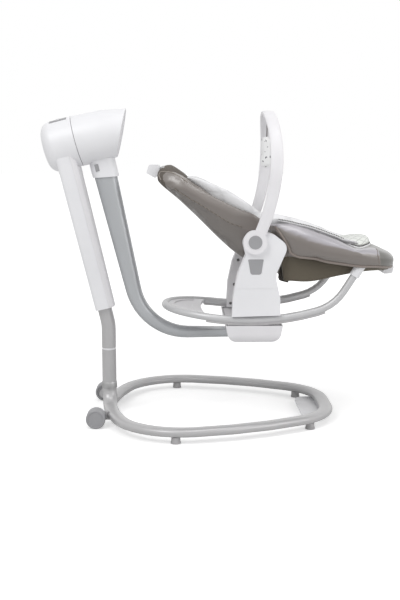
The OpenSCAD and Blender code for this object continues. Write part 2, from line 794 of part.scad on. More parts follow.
// A turned piece round the rail's rocking centre, from climb c0 to c1.
module on_rocking_curve(c0, c1) {
    translate([rail_x, -rail_half, rail_z + rail_r]) rotate([90, 0, 0]) rotate([0, 0, -90 + c0])
        rotate_extrude(angle = c1 - c0, $fn = 360) translate([rail_r, 0]) children();
}

// The pad's section hugs the underside of the tube.
pad_section = concat([[-6, -rail_d / 2 - pad_t], [6, -rail_d / 2 - pad_t]],
    [for (a = [-50:-20:-130]) (rail_d / 2 + 0.05) * [cos(a), sin(a)]]);

module rail_pads() {
    color([0.6, 0.6, 0.61]) both_sides() lofted([for (i = [9:18]) ring3(half_rail_spots[i], pad_section)]);
}

// The plate that closes the rear of the loop, out to a distance r, in front of x.
module rear_outline(r, x) {
    difference() {
        circle(r = r);
        translate([x + plate_bow - 7, 0]) circle(r = plate_bow, $fn = 128);
        translate([-30, -200]) square([300, 400]);
    }
}

plate_bow = 700;

module rear_plate() {
    color([0.93, 0.93, 0.93]) translate([rail_join.x, 0, rail_join.y]) rotate([0, rear_tilt, 0]) difference() {
        translate([0, 0, -4]) linear_extrude(8) rear_outline(rail_half - 6, -45);
        translate([0, 0, 2]) linear_extrude(8) rear_outline(rail_half - 24, -68);
        rotate_extrude() translate([rail_half, 0]) circle(d = rail_d + 0.4);
    }
}

// Frame of the rail's front end: +X runs up along the tube.
module on_rail_tip() {
    translate([rail_tip.x, -rail_half, rail_tip.y]) rotate([0, -rail_climb[1], 0]) children();
}

module rail_sockets() {
    color([0.93, 0.93, 0.93]) both_sides() difference() {
        union() {
            on_rail_tip() translate([-12, 0, 0]) rotate([0, 90, 0]) cylinder(d = rail_d + 7, h = 38);
            on_front_leg() translate([clamp_s, 0, 0]) rotate([0, 90, 0]) cylinder(d = frame_d + 7, h = 30);
        }
        on_rail_tip() translate([-20, 0, 0]) rotate([0, 90, 0]) cylinder(d = rail_d, h = 20);
        on_front_leg() rotate([0, 90, 0]) cylinder(d = frame_d, h = 300);
    }
}

// The room that a socket needs in the soft seat.
module socket_room() {
    on_rail_tip() translate([-14, 0, 0]) rotate([0, 90, 0]) cylinder(d = rail_d + 8, h = 42);
    on_front_leg() translate([clamp_s - 1, 0, 0]) rotate([0, 90, 0]) cylinder(d = frame_d + 8, h = 32);
}

// ---------- columns ----------

// Outline of a column down to the heights z0 at its rear and z1 at its front.
function column_outline(z0, z1) = rounded([[24, z0, 0], [27, 344, 0], [39, 401, 0], [58, 449, 0], [50, 482, 20],
    [68, 511, 26], [127, 502, 26], [166, 472, 24], [136, 403, 22], [136, 385, 16], [146, 340, 30], [147, z1, 0]]);
column_pts = column_outline(292, 295.4);
inner_pts = column_outline(271.5, 271.5);
column_mid = column_out - 22;

module rail_cut() {
    on_rocking_curve(-12, 12) circle(d = rail_d + 0.4);
}

module button_outline(gap) {
    polygon(rounded([[64 - gap, 438 + gap, 2], [103 + gap, 438 + gap, 2], [97 + gap, 400 - gap, 6],
        [71 - gap, 400 - gap, 6]]));
}

module column_outer() {
    color([0.93, 0.93, 0.93]) difference() {
        side_plate(column_pts, -column_out, -column_mid);
        translate([0, -column_mid + 1, 0]) rotate([90, 0, 0]) linear_extrude(column_out - column_mid + 1 - skin)
            offset(-skin) polygon(column_pts);
        translate([0, -column_out + 12, 0]) rotate([90, 0, 0]) linear_extrude(20) button_outline(slip);
        rail_cut();
        translate([bar_x, -column_out + 12, bar_z]) rotate([90, 0, 0]) cylinder(d = bar_pin_d, h = 20);
        translate([0, -column_out - 1, 363.6]) cube([200, 1.7, 0.8]);
    }
}

module column_inner() {
    color([0.85, 0.85, 0.86]) difference() {
        union() {
            difference() {
                side_plate(inner_pts, -column_mid, -column_in);
                translate([0, -column_in - skin, 0]) rotate([90, 0, 0]) linear_extrude(column_mid)
                    offset(-skin) polygon(inner_pts);
            }
            at_screws() translate([0, 0, 1]) cylinder(d = 12, h = 10.5);
        }
        rail_cut();
        translate([0, -column_mid - 1, 260]) cube([200, column_mid + 1 - rail_half + rail_d / 2 + 1.5, 31]);
        translate([pivot.x, -column_in - 8, pivot.y]) rotate([-90, 0, 0]) cylinder(d = 20, h = 20);
        translate([110, -column_in - 10, 462]) rotate([-90, 0, 0]) cylinder(d = frame_d, h = 20);
        on_front_leg() rotate([0, 90, 0]) cylinder(d = frame_d, h = 80);
        at_screws() {
            translate([0, 0, -1]) cylinder(d = 9, h = 4);
            cylinder(d = screw_d, h = 20);
        }
    }
}

module column_outer_left() { mirror([0, 1, 0]) column_outer(); }

module column_outer_right() { column_outer(); }

module column_inner_left() { mirror([0, 1, 0]) column_inner(); }

module column_inner_right() { column_inner(); }

screw_d = 4;
// The lowest screw of a column goes into the rocker tube.
screw_spots = [[56, 405], [45, 336], [35, 282]];

// At the screws of the near column: +Z runs out from its inner face.
module at_screws() {
    for (p = screw_spots) translate([p.x, -column_in, p.y]) rotate([90, 0, 0]) children();
}

module column_screws() {
    color([0.35, 0.35, 0.36]) both_sides() at_screws() {
        translate([0, 0, 0.8]) cylinder(d = 7.6, h = 2.2);
        translate([0, 0, 2.9]) cylinder(d = screw_d, h = 14);
    }
}

module recline_button() {
    color([0.5, 0.5, 0.51]) translate([0, -column_out + 11.5, 0]) rotate([90, 0, 0]) linear_extrude(11) button_outline(0);
}

module recline_button_left() { mirror([0, 1, 0]) recline_button(); }

module recline_button_right() { recline_button(); }

module seat_cross_bar() {
    color([0.6, 0.6, 0.61]) translate([110, 0, 462]) rotate([90, 0, 0])
        linear_extrude(2 * (column_in + 10), center = true) ring2d(frame_d, tube_wall);
}

front_slope = 5;
front_leg = 240;
front_corner = 70;
leg_y = (column_in + column_mid) / 2;
clamp_s = 208;

// Frame of the near leg of the seat's front tube: +X runs forward along it.
module on_front_leg() {
    translate([132, -leg_y, 458]) rotate([0, front_slope, 0]) children();
}

module front_frame_run() {
    on_front_leg() trail([[front_leg, 0, 0, 0], [0, front_corner, 90, 0], [leg_y - front_corner, 0, 0, 0]])
        children();
}

module seat_front_frame() {
    color([0.6, 0.6, 0.61]) both_sides() front_frame_run() ring2d(frame_d, tube_wall);
}

foot_clip_pts = rounded([[430, 386, 4], [454, 388, 6], [457, 404, 6], [454, 422, 3], [447, 422, 1],
    [448, 404, 4], [430, 396, 2]]);

module foot_clip() {
    color([0.93, 0.93, 0.93]) side_plate(foot_clip_pts, -45, 45);
}

// Upper, wide part of the soft seat's front, and the narrow skirt under it.
front_top_pts = rounded([[171, 450, 3], [171, 528, 6], [240, 512, 20], [305, 488, 20], [390, 472, 30],
    [452, 446, 16], [451, 424, 6], [428, 410, 8], [396, 408, 10], [370, 421, 10], [302, 430, 0], [239, 439, 0]]);
front_skirt_pts = rounded([[146, 420, 8], [146, 383, 4], [216, 383, 0], [330, 398, 10], [424, 398, 10],
    [424, 420, 4], [330, 440, 0], [240, 448, 0], [121, 452, 6]]);
front_near_pts = rounded([[121, 442, 4], [121, 530, 8], [174, 530, 2], [174, 442, 2]]);
hollow_pts = rounded([[100, 456, 0], [100, 560, 0], [400, 560, 0], [428, 458, 12], [400, 440, 16], [330, 440, 20],
    [240, 448, 0]]);

module seat_front_cover() {
    color([0.46, 0.43, 0.4]) difference() {
        union() {
            side_plate(front_top_pts, -seat_wide, seat_wide);
            side_plate(front_near_pts, -seat_half, seat_half);
            side_plate(front_skirt_pts, -column_in + 1, column_in - 1);
        }
        side_plate(hollow_pts, -seat_half + 12, seat_half - 12);
        side_plate([[100, 300], [100, 424], [240, 424], [330, 416], [414, 404], [414, 300]],
            -seat_half + 4, seat_half - 4);
        both_sides() front_frame_run() circle(d = frame_d + 2);
        both_sides() socket_room();
        side_plate([for (p = foot_clip_pts) p + [p.x < 440 ? -1 : 1, p.y < 400 ? -1 : 1]], -46, 46);
    }
}

// ---------- backrest ----------

module on_backrest() {
    translate([pivot.x, 0, pivot.y]) rotate([0, back_slope, 0]) rotate([0, 0, 180]) children();
}

module backrest_run() {
    both_sides() translate([0, seat_half - 11, 0]) mirror([0, 1, 0])
        trail([[back_len - 80, 0, 0, 0], [0, 80, 90, 0], [seat_half - 91, 0, 0, 0]]) children();
}

module backrest_frame() {
    color([0.6, 0.6, 0.61]) on_backrest() {
        both_sides() rotate([-90, 0, 0]) translate([0, 0, seat_half - 17])
            cylinder(d = 20 - 2 * run_fit, h = column_in - seat_half + 24.7);
        backrest_run() circle(d = frame_d);
    }
}

head_clip_pts = rounded([[-194, 650, 5], [-170, 637, 4], [-159.2, 654, 2], [-159.2, 668, 3], [-163, 672, 2],
    [-187, 672, 6]]);

module head_clip() {
    color([0.93, 0.93, 0.93]) side_plate(head_clip_pts, -40, 40);
}

module backrest_cover() {
    color([0.46, 0.43, 0.4]) difference() {
        side_plate(rounded([[59, 430, 12], [-55, 534, 0], [-143, 617, 10], [-166, 650, 12], [-154, 673, 12],
            [-118, 668, 12], [-82, 634, 10], [-33, 600, 0], [20, 577, 0], [88, 550, 12], [84, 482, 10]]),
            -seat_half, seat_half);
        side_plate(rounded([[100, 492, 0], [50, 486, 20], [-122, 648, 10], [-60, 700, 0], [100, 700, 0]]),
            -seat_half + 12, seat_half - 12);
        on_backrest() backrest_run() circle(d = frame_d + 1.5);
        on_backrest() both_sides() rotate([-90, 0, 0]) translate([0, 0, seat_half - 21]) cylinder(d = 22, h = 30);
        side_plate([[-200, 630], [-158.9, 630], [-158.9, 690], [-200, 690]], -41, 41);
    }
}

// ---------- toy bar ----------

bar_arch_r = column_out + slip + bar_hub_t / 2;
bar_shoulder = bar_top - bar_t / 2 - bar_arch_r;

module toy_bar_pins() {
    color([0.75, 0.75, 0.77]) both_sides() translate([bar_x, -column_out + 12, bar_z]) rotate([90, 0, 0])
        cylinder(d = bar_pin_d, h = 12 + bar_hub_t - 2);
}

function bar_bow(z) = 134 - (500 - sqrt(500 * 500 - pow(z - 700, 2)));
// Spots along the band's middle, from the near hub over the crown.
function bar_spot(t) = t < 0 ? [[bar_bow(bar_shoulder + t), -bar_arch_r, bar_shoulder + t], [0, 0, 1], [0, -1, 0]]
    : [[bar_bow(bar_shoulder + bar_arch_r * sin(t)), -bar_arch_r * cos(t), bar_shoulder + bar_arch_r * sin(t)],
        [0, sin(t), cos(t)], [0, -cos(t), sin(t)]];
bar_leg = bar_shoulder - bar_z;
half_bar_spots = concat([for (i = [6:-1:1]) bar_spot(-bar_leg * i / 6)], [for (i = [0:11]) bar_spot(i * 7.5)]);
bar_spots = concat(half_bar_spots, [bar_spot(90)], [for (m = mirrored(half_bar_spots))
    [m[0], [0, -m[1].y, -m[1].z] * -1, m[2]]]);

module toy_bar() {
    color([0.93, 0.93, 0.93]) difference() {
        union() {
            lofted([for (s = bar_spots) ring3(s, ellipse_pts(bar_w, bar_t, 16, 3))]);
            both_sides() translate([bar_x, -column_out - slip, bar_z]) rotate([90, 0, 0])
                cylinder(r = bar_hub_r, h = bar_hub_t);
        }
        both_sides() translate([bar_x, -column_out, bar_z]) rotate([90, 0, 0]) {
            cylinder(r = bar_pin_d / 2 + run_fit, h = bar_hub_t - 2);
            translate([0, 0, bar_hub_t - 2]) cylinder(d = 34 + 2 * eps, h = 10);
        }
    }
}

module toy_bar_caps() {
    color([0.5, 0.5, 0.51]) both_sides() translate([bar_x, -column_out - bar_hub_t + 2 - slip, bar_z])
        rotate([90, 0, 0]) cylinder(d = 34, h = 3);
}

module toy_ribbon() {
    roll_z = bar_top - bar_t - slip - 2.5;
    color([0.3, 0.3, 0.3]) {
        translate([121, -4, 744.3]) cube([2, 8, roll_z - 744.3]);
        translate([122, 4, roll_z]) rotate([90, 0, 0]) cylinder(d = 5, h = 8);
    }
}

module hanging_toy() {
    color([0.92, 0.92, 0.92]) translate([0, 9, 0]) rotate([90, 0, 0]) linear_extrude(18)
        polygon(rounded([[106, 664, 12], [134, 664, 12], [132, 744, 12], [108, 744, 12]]));
}

base_loop();
stem_yoke();
stem_socket();
stem_lower();
stem_ring();
stem_upper();
floor_feet();
base_plate();
wheel_brackets();
wheel_axles();
wheel_left();
wheel_right();
stem_cover_rear();
stem_cover_front();
head_back_shell();
pivot_housing();
shaft_bearings();
drive_coil();
circuit_board();
control_panel();
speed_button();
timer_button();
melody_button();
power_inlet();
pivot_shaft();
drive_magnet();
head_front_shell();
head_front_cap();
arm_hanger();
arm_collar();
arm_release_button();
swing_arm();
dock_bowl();
dock_plate();
rocker_rail();
rail_pads();
rear_plate();
rail_sockets();
column_outer_left();
column_outer_right();
column_inner_left();
column_inner_right();
column_screws();
recline_button_left();
recline_button_right();
seat_cross_bar();
seat_front_frame();
foot_clip();
seat_front_cover();
backrest_frame();
backrest_cover();
head_clip();
toy_bar_pins();
toy_bar();
toy_bar_caps();
toy_ribbon();
hanging_toy();
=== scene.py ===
"""Looks of the baby swing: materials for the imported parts, soft goods, light and camera.

Shapes are given in mm in the shared frame, and MM turns them into metres. Materials, lights and
the camera are in metres.
"""
import json
import math

import bmesh
import bpy
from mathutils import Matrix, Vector, noise
from mathutils.bvhtree import BVHTree


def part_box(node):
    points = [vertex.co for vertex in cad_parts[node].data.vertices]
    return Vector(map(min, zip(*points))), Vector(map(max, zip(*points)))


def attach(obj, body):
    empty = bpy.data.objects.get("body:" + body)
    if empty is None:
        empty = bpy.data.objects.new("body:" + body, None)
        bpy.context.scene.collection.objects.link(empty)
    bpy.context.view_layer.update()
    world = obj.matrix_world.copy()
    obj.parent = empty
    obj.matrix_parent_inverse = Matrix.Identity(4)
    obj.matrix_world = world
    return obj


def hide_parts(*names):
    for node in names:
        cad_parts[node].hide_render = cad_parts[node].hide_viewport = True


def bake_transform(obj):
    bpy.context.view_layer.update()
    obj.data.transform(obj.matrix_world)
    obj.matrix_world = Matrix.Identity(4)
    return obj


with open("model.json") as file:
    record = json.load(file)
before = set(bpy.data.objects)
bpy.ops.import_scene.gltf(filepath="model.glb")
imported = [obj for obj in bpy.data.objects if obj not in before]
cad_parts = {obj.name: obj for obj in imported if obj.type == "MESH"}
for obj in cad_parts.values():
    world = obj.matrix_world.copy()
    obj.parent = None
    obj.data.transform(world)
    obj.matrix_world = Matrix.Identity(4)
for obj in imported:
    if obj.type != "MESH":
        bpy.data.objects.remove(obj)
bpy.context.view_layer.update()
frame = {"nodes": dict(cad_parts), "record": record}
NODES = frame["nodes"]

MM = 0.001
SIDES = ((-1, "right"), (1, "left"))


# ---------- camera ----------

FOCAL_LENGTH, SENSOR = 57.84, 36.0
CAMERA_PLACE = (-0.101, -2.565, 0.702)
# The camera looks along +Y. It dips below level and turns anticlockwise seen from above, in
# degrees.
CAMERA_DIP, CAMERA_TURN = 8.67, -1.057
CLIP_START, CLIP_END = 0.05, 60.0


def make_camera():
    """The camera of the photograph."""
    data = bpy.data.cameras.new("camera")
    data.lens, data.sensor_width, data.sensor_fit = FOCAL_LENGTH, SENSOR, "AUTO"
    data.clip_start, data.clip_end = CLIP_START, CLIP_END
    camera = bpy.data.objects.new("camera", data)
    camera.location = CAMERA_PLACE
    camera.rotation_euler = (math.radians(90 - CAMERA_DIP), 0.0, math.radians(CAMERA_TURN))
    bpy.context.scene.collection.objects.link(camera)
    bpy.context.scene.camera = camera


make_camera()


# ---------- materials ----------

# Sockets of a Mix node that carry colour.
MIX_A, MIX_B, MIX_RESULT = 6, 7, 2
# A wave texture of scale 1 turns through WAVE_TURN radians in each metre. Half a turn is a band.
HALF_TURN, WAVE_TURN = 3.1416, 20.0
# The nose panel of the seat's rim starts where x + NOSE_LEAN z passes NOSE_SEAM mm.
NOSE_SEAM, NOSE_LEAN = 487.0, 0.2
# How far up a face looks, as the z of its normal, where the rim's painted highlight, a paler tone,
# starts and is full.
HIGHLIGHT_START, HIGHLIGHT_FULL = 0.16, 0.52
COATED = {"Coat_Weight": 1.0, "Coat_IOR": 1.9, "Coat_Roughness": 0.3}


def srgb(level):
    """Linear value of a display grey level or colour."""
    if isinstance(level, (int, float)):
        level = (level,) * 3
    return tuple(c / 12.92 if c <= 0.04045 else ((c + 0.055) / 1.055) ** 2.4
                 for c in level) + (1.0,)


class Look:
    """A node material: a base colour with its variation, a roughness and a bump."""

    def __init__(self, name, color, rough, metal=0.0, **sockets):
        self.mat = bpy.data.materials.new(name)
        self.mat.use_nodes = True
        self.tree = self.mat.node_tree
        self.bsdf = self.tree.nodes["Principled BSDF"]
        self.color = srgb(color)
        self.bsdf.inputs["Base Color"].default_value = self.color
        self.bsdf.inputs["Roughness"].default_value = rough
        self.bsdf.inputs["Metallic"].default_value = metal
        for socket, value in sockets.items():
            self.bsdf.inputs[socket.replace("_", " ")].default_value = value
        self.coord = self.tree.nodes.new("ShaderNodeTexCoord")
        self.shade = None
        self.height = None

    def node(self, kind, **props):
        made = self.tree.nodes.new(kind)
        for key, value in props.items():
            setattr(made, key, value)
        return made

    def link(self, a, b):
        self.tree.links.new(a, b)

    def tint(self, color):
        self.link(color, self.bsdf.inputs["Base Color"])

    def where(self, source, scale=(1, 1, 1), turn=(0, 0, 0)):
        place = self.node("ShaderNodeMapping")
        place.inputs["Scale"].default_value = scale
        place.inputs["Rotation"].default_value = turn
        self.link(self.coord.outputs[source], place.inputs["Vector"])
        return place.outputs["Vector"]

    def noise(self, scale, detail=3.0, stretch=(1, 1, 1)):
        tex = self.node("ShaderNodeTexNoise")
        tex.inputs["Scale"].default_value = scale
        tex.inputs["Detail"].default_value = detail
        self.link(self.where("Object", stretch), tex.inputs["Vector"])
        return tex.outputs["Fac"]

    def bands(self, pitch, turn=0.0):
        """Soft stripes across the cloth, each pitch metres wide, turned by an angle."""
        tex = self.node("ShaderNodeTexWave")
        tex.inputs["Scale"].default_value = HALF_TURN / pitch / WAVE_TURN
        self.link(self.where("UV", turn=(0, 0, turn)), tex.inputs["Vector"])
        return tex.outputs["Fac"]

    def ramp(self, value, stops):
        """Colour that runs between two stops, each a place and a colour."""
        ramp = self.node("ShaderNodeValToRGB")
        for element, (spot, color) in zip(ramp.color_ramp.elements, stops):
            element.position = spot
            element.color = color
        self.link(value, ramp.inputs["Fac"])
        return ramp.outputs["Color"]

    def mix(self, factor, a, b):
        made = self.node("ShaderNodeMix", data_type="RGBA")
        self.link(factor, made.inputs["Factor"])
        for socket, value in ((MIX_A, a), (MIX_B, b)):
            if isinstance(value, tuple):
                made.inputs[socket].default_value = value
            else:
                self.link(value, made.inputs[socket])
        return made.outputs[MIX_RESULT]

    def math(self, kind, a, b):
        made = self.node("ShaderNodeMath", operation=kind)
        for socket, value in enumerate((a, b)):
            if isinstance(value, (int, float)):
                made.inputs[socket].default_value = value
            else:
                self.link(value, made.inputs[socket])
        return made.outputs[0]

    def vary(self, amount, scale, detail=3.0):
        """Lets the base colour wander darker and lighter by amount."""
        dark = tuple(c * (1 - amount) for c in self.color[:3]) + (1.0,)
        light = tuple(min(1.0, c * (1 + amount)) for c in self.color[:3]) + (1.0,)
        self.shade = self.ramp(self.noise(scale, detail), [(0.3, dark), (0.7, light)])
        self.tint(self.shade)

    def rough(self, low, high, scale, stretch=(1, 1, 1)):
        span = self.node("ShaderNodeMapRange")
        span.inputs["To Min"].default_value = low
        span.inputs["To Max"].default_value = high
        self.link(self.noise(scale, 2.0, stretch), span.inputs["Value"])
        self.link(span.outputs["Result"], self.bsdf.inputs["Roughness"])

    def bump(self, value, distance, strength):
        """Adds one layer of bump, distance in metres."""
        layer = self.node("ShaderNodeBump")
        layer.inputs["Strength"].default_value = strength
        layer.inputs["Distance"].default_value = distance
        self.link(value, layer.inputs["Height"])
        if self.height is not None:
            self.link(self.height, layer.inputs["Normal"])
        self.height = layer.outputs["Normal"]
        self.link(self.height, self.bsdf.inputs["Normal"])

    def weave(self, pitch):
        """Plain weave: crossed sets of threads, each pitch metres wide."""
        threads = self.math("ADD", self.bands(pitch), self.bands(pitch, math.pi / 2))
        self.bump(threads, distance=0.00012, strength=0.5)


def painted(name, color, rough, metal):
    look = Look(name, color, rough, metal, Coat_Weight=0.25, Coat_Roughness=0.25)
    look.vary(0.03, scale=9.0)
    look.rough(rough - 0.05, rough + 0.06, scale=40.0)
    look.bump(look.noise(1400.0, 2.0), distance=0.00004, strength=0.35)
    look.bump(look.noise(90.0, 2.0), distance=0.0001, strength=0.25)
    return look.mat


def plastic(name, color, rough, grain=0.00003, spread=0.02):
    look = Look(name, color, rough)
    look.vary(spread, scale=14.0)
    look.rough(rough - 0.04, rough + 0.06, scale=60.0)
    look.bump(look.noise(2200.0, 2.0), distance=grain, strength=0.5)
    look.bump(look.noise(22.0, 2.0), distance=0.0004, strength=0.08)
    return look.mat


def steel(name, color, rough):
    drawn = (1, 0.05, 1)
    look = Look(name, color, rough, metal=0.95)
    look.vary(0.06, scale=30.0)
    look.rough(rough - 0.08, rough + 0.08, scale=400.0, stretch=drawn)
    look.bump(look.noise(900.0, 2.0, drawn), distance=0.00003, strength=0.3)
    return look.mat


def rubber(name, color):
    look = Look(name, color, rough=0.62)
    look.vary(0.06, scale=40.0)
    look.bump(look.noise(1800.0), distance=0.00006, strength=0.6)
    return look.mat


def cloth(name, color, rough, sheen=0.3, pitch=0.0009, **sockets):
    look = Look(name, color, rough, Sheen_Weight=sheen, Sheen_Roughness=0.45, **sockets)
    look.vary(0.05, scale=11.0, detail=4.0)
    look.weave(pitch)
    look.bump(look.noise(60.0, 4.0), distance=0.0006, strength=0.25)
    return look


def ribbed(name, dark, light, pitch):
    """Piping with a slanted stripe along it."""
    look = Look(name, light, rough=0.7, Sheen_Weight=0.3)
    stripe = look.bands(pitch, turn=0.7)
    look.tint(look.ramp(stripe, [(0.5, srgb(dark)), (0.7, srgb(light))]))
    look.bump(stripe, distance=0.0003, strength=0.6)
    return look.mat


def painted_highlight_cloth(name, low, high, nose):
    """Coated cloth with a painted highlight, a paler tone on its up-turned faces, and a darker
    panel over the nose.
    """
    look = cloth(name, low, 0.45, 0.25, **COATED)
    facing = look.node("ShaderNodeSeparateXYZ")
    look.link(look.coord.outputs["Normal"], facing.inputs[0])
    span = look.node("ShaderNodeMapRange", interpolation_type="SMOOTHSTEP")
    span.inputs["From Min"].default_value = HIGHLIGHT_START
    span.inputs["From Max"].default_value = HIGHLIGHT_FULL
    look.link(facing.outputs["Z"], span.inputs["Value"])
    # The up-turned faces blend towards the colour high, which paints a highlight.
    color = look.mix(span.outputs["Result"], look.shade, srgb(high))
    place = look.node("ShaderNodeSeparateXYZ")
    look.link(look.coord.outputs["Object"], place.inputs[0])
    slant = look.math("MULTIPLY", place.outputs["Z"], NOSE_LEAN)
    along = look.math("ADD", place.outputs["X"], slant)
    past = look.math("GREATER_THAN", along, NOSE_SEAM * MM)
    look.tint(look.mix(past, color, srgb(nose)))
    return look.mat


def quilted(name, color, pitch, seam):
    """Knitted cloth sewn in diamonds, its colour dimmed to seam of its value at the sewing."""
    look = Look(name, color, rough=0.85, Sheen_Weight=0.4, Sheen_Roughness=0.5)
    lines = look.math("MINIMUM", look.bands(pitch, math.pi / 4), look.bands(pitch, -math.pi / 4))
    soft = look.math("POWER", lines, 0.35)
    dim = tuple(c * seam for c in look.color[:3]) + (1.0,)
    look.tint(look.ramp(soft, [(0.25, dim), (0.55, look.color)]))
    look.bump(soft, distance=0.065 * pitch, strength=0.8)
    look.weave(0.0011)
    return look.mat


def dotted(name, color):
    """Plush with scattered small marks, a generic print."""
    look = Look(name, color, rough=0.9, Sheen_Weight=0.5, Sheen_Roughness=0.6)
    spots = look.node("ShaderNodeTexVoronoi", feature="F1")
    spots.inputs["Scale"].default_value = 95.0
    spots.inputs["Randomness"].default_value = 0.75
    look.link(look.where("Object", (1, 1, 0.75)), spots.inputs["Vector"])
    mark = look.math("LESS_THAN", spots.outputs["Distance"], 0.26)
    pick = look.math("GREATER_THAN", look.noise(70.0, 1.0), 0.5)
    look.tint(look.mix(look.math("MULTIPLY", mark, pick), look.color, srgb((0.30, 0.30, 0.33))))
    look.bump(look.noise(900.0), distance=0.0004, strength=0.7)
    return look.mat


# One look for each hard material slot.
LOOKS = {
    "frame_grey": painted("frame_grey", (0.725, 0.722, 0.725), 0.32, 0.2),
    "rail_grey": painted("rail_grey", (0.78, 0.78, 0.785), 0.34, 0.15),
    "inner_steel": steel("inner_steel", 0.68, 0.35),
    "screw_steel": steel("screw_steel", 0.5, 0.3),
    "cast_alloy": steel("cast_alloy", 0.66, 0.5),
    "white_plastic": plastic("white_plastic", (0.92, 0.92, 0.93), 0.36),
    "pale_plastic": plastic("pale_plastic", (0.91, 0.905, 0.915), 0.42),
    "grey_plastic": plastic("grey_plastic", (0.62, 0.62, 0.63), 0.5, 0.00005, 0.03),
    "pad_rubber": rubber("pad_rubber", (0.72, 0.715, 0.72)),
    "coil_copper": steel("coil_copper", (0.76, 0.5, 0.3), 0.4),
    "board_green": plastic("board_green", (0.1, 0.35, 0.2), 0.5),
    "inlet_black": plastic("inlet_black", 0.08, 0.5),
}

SEAT_TAUPE = (0.395, 0.36, 0.335)
FABRIC = cloth("seat_fabric", SEAT_TAUPE, 0.45, 0.25, **COATED).mat
# A darker copy of the seat fabric, which paints shade on the back's lower panel. The skirt's floor
# near the feet takes it too.
FABRIC_SHADE = cloth("seat_fabric_painted_shade", (0.345, 0.315, 0.29), 0.5, 0.2, **COATED).mat
FABRIC_BROWN = cloth("head_panel_fabric", (0.36, 0.335, 0.31), 0.8, 0.0).mat
PLAIN_WHITE = cloth("white_binding", (0.94, 0.94, 0.94), 0.8, 0.4).mat
FABRIC_DARK = cloth("skirt_fabric", (0.375, 0.345, 0.29), 0.62, 0.15).mat
PIPING = ribbed("piping", (0.40, 0.37, 0.34), (0.50, 0.465, 0.43), 0.004)
PALE_PIPE = cloth("pale_piping", (0.58, 0.55, 0.52), 0.6, 0.3).mat
PIPE_CLOTH = cloth("piping_cloth", (0.52, 0.48, 0.455), 0.5, 0.3).mat
ZIGZAG = ribbed("zigzag_edge", (0.12, 0.12, 0.14), (0.88, 0.88, 0.88), 0.0022)
LINER = quilted("liner", (0.93, 0.93, 0.935), 0.034, 0.90)
FLAP = quilted("flap_cloth", (0.91, 0.92, 0.90), 0.011, 0.72)
# The rim's cloth: taupe, a paler colour as its painted highlight, and the darker nose panel.
FABRIC_RIM = painted_highlight_cloth("rim_fabric", SEAT_TAUPE, (0.60, 0.585, 0.61), (0.30, 0.29, 0.26))
BINDING = cloth("binding", (0.30, 0.29, 0.30), 0.7).mat
TAPE = cloth("tape", (0.24, 0.22, 0.20), 0.7, 0.3, 0.0012).mat
GREY_TAPE = cloth("grey_tape", (0.50, 0.49, 0.49), 0.7, 0.3, 0.0012).mat
PLUSH = dotted("toy_plush", (0.93, 0.93, 0.93))

# Nodes that look unlike the rest of their slot.
NODE_LOOKS = {
    "swing_arm": painted("arm_grey", (0.71, 0.72, 0.73), 0.3, 0.25),
    "rail_sockets": LOOKS["white_plastic"],
    "base_plate": LOOKS["white_plastic"],
    "control_panel": LOOKS["grey_plastic"],
}


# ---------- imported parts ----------

# Split vertices within WELD metres are joined, and edges below SHARP_ANGLE degrees are smooth.
WELD = 2e-6
SHARP_ANGLE = 32


def smooth_group():
    """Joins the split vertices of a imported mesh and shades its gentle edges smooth."""
    group = bpy.data.node_groups.new("smooth_by_angle", "GeometryNodeTree")
    for way in ("INPUT", "OUTPUT"):
        group.interface.new_socket("Geometry", in_out=way, socket_type="NodeSocketGeometry")
    new = group.nodes.new
    start, end = new("NodeGroupInput"), new("NodeGroupOutput")
    merge = new("GeometryNodeMergeByDistance")
    merge.inputs["Distance"].default_value = WELD
    drop = new("GeometryNodeRemoveAttribute")
    drop.inputs["Name"].default_value = "custom_normal"
    faces, edges = new("GeometryNodeSetShadeSmooth"), new("GeometryNodeSetShadeSmooth")
    faces.domain, edges.domain = "FACE", "EDGE"
    angle, sharp = new("GeometryNodeInputMeshEdgeAngle"), new("FunctionNodeCompare")
    sharp.data_type, sharp.operation = "FLOAT", "GREATER_THAN"
    sharp.inputs[1].default_value = math.radians(SHARP_ANGLE)
    faces.inputs["Shade Smooth"].default_value = True
    edges.inputs["Shade Smooth"].default_value = False
    link = group.links.new
    for before, after in ((start, merge), (merge, drop), (drop, faces), (faces, edges)):
        link(before.outputs[0], after.inputs["Geometry"])
    link(angle.outputs["Unsigned Angle"], sharp.inputs[0])
    link(sharp.outputs[0], edges.inputs["Selection"])
    link(edges.outputs[0], end.inputs[0])
    return group


def dress_nodes():
    """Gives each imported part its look. The soft slots have none, as sewn pieces replace them."""
    group = smooth_group()
    slots = {row["node"]: row["material_slot"] for row in frame["record"]["subparts"]}
    for name, obj in NODES.items():
        look = NODE_LOOKS.get(name) or LOOKS.get(slots[name])
        if look is None:
            continue
        obj.data.materials.clear()
        obj.data.materials.append(look)
        obj.modifiers.new("smooth", "NODES").node_group = group


dress_nodes()


# ---------- mesh tools ----------

CURVE_STEPS = 12
TUBE_SIDES = 8


def clamp(share, least=0.0):
    """A share held between least and 1."""
    return max(least, min(1.0, share))


def table(rows, x):
    """Value at x of a smooth line through (x, value) rows."""
    if x <= rows[0][0]:
        return rows[0][1]
    for i in range(len(rows) - 1):
        (x0, y0), (x1, y1) = rows[i], rows[i + 1]
        if x <= x1:
            before = rows[i - 1] if i else rows[i]
            after = rows[i + 2] if i + 2 < len(rows) else rows[i + 1]
            m0 = (y1 - before[1]) / (x1 - before[0])
            m1 = (after[1] - y0) / (after[0] - x0)
            h = x1 - x0
            t = (x - x0) / h
            return ((2 * t ** 3 - 3 * t ** 2 + 1) * y0 + (t ** 3 - 2 * t ** 2 + t) * h * m0
                    + (3 * t ** 2 - 2 * t ** 3) * y1 + (t ** 3 - t ** 2) * h * m1)
    return rows[-1][1]


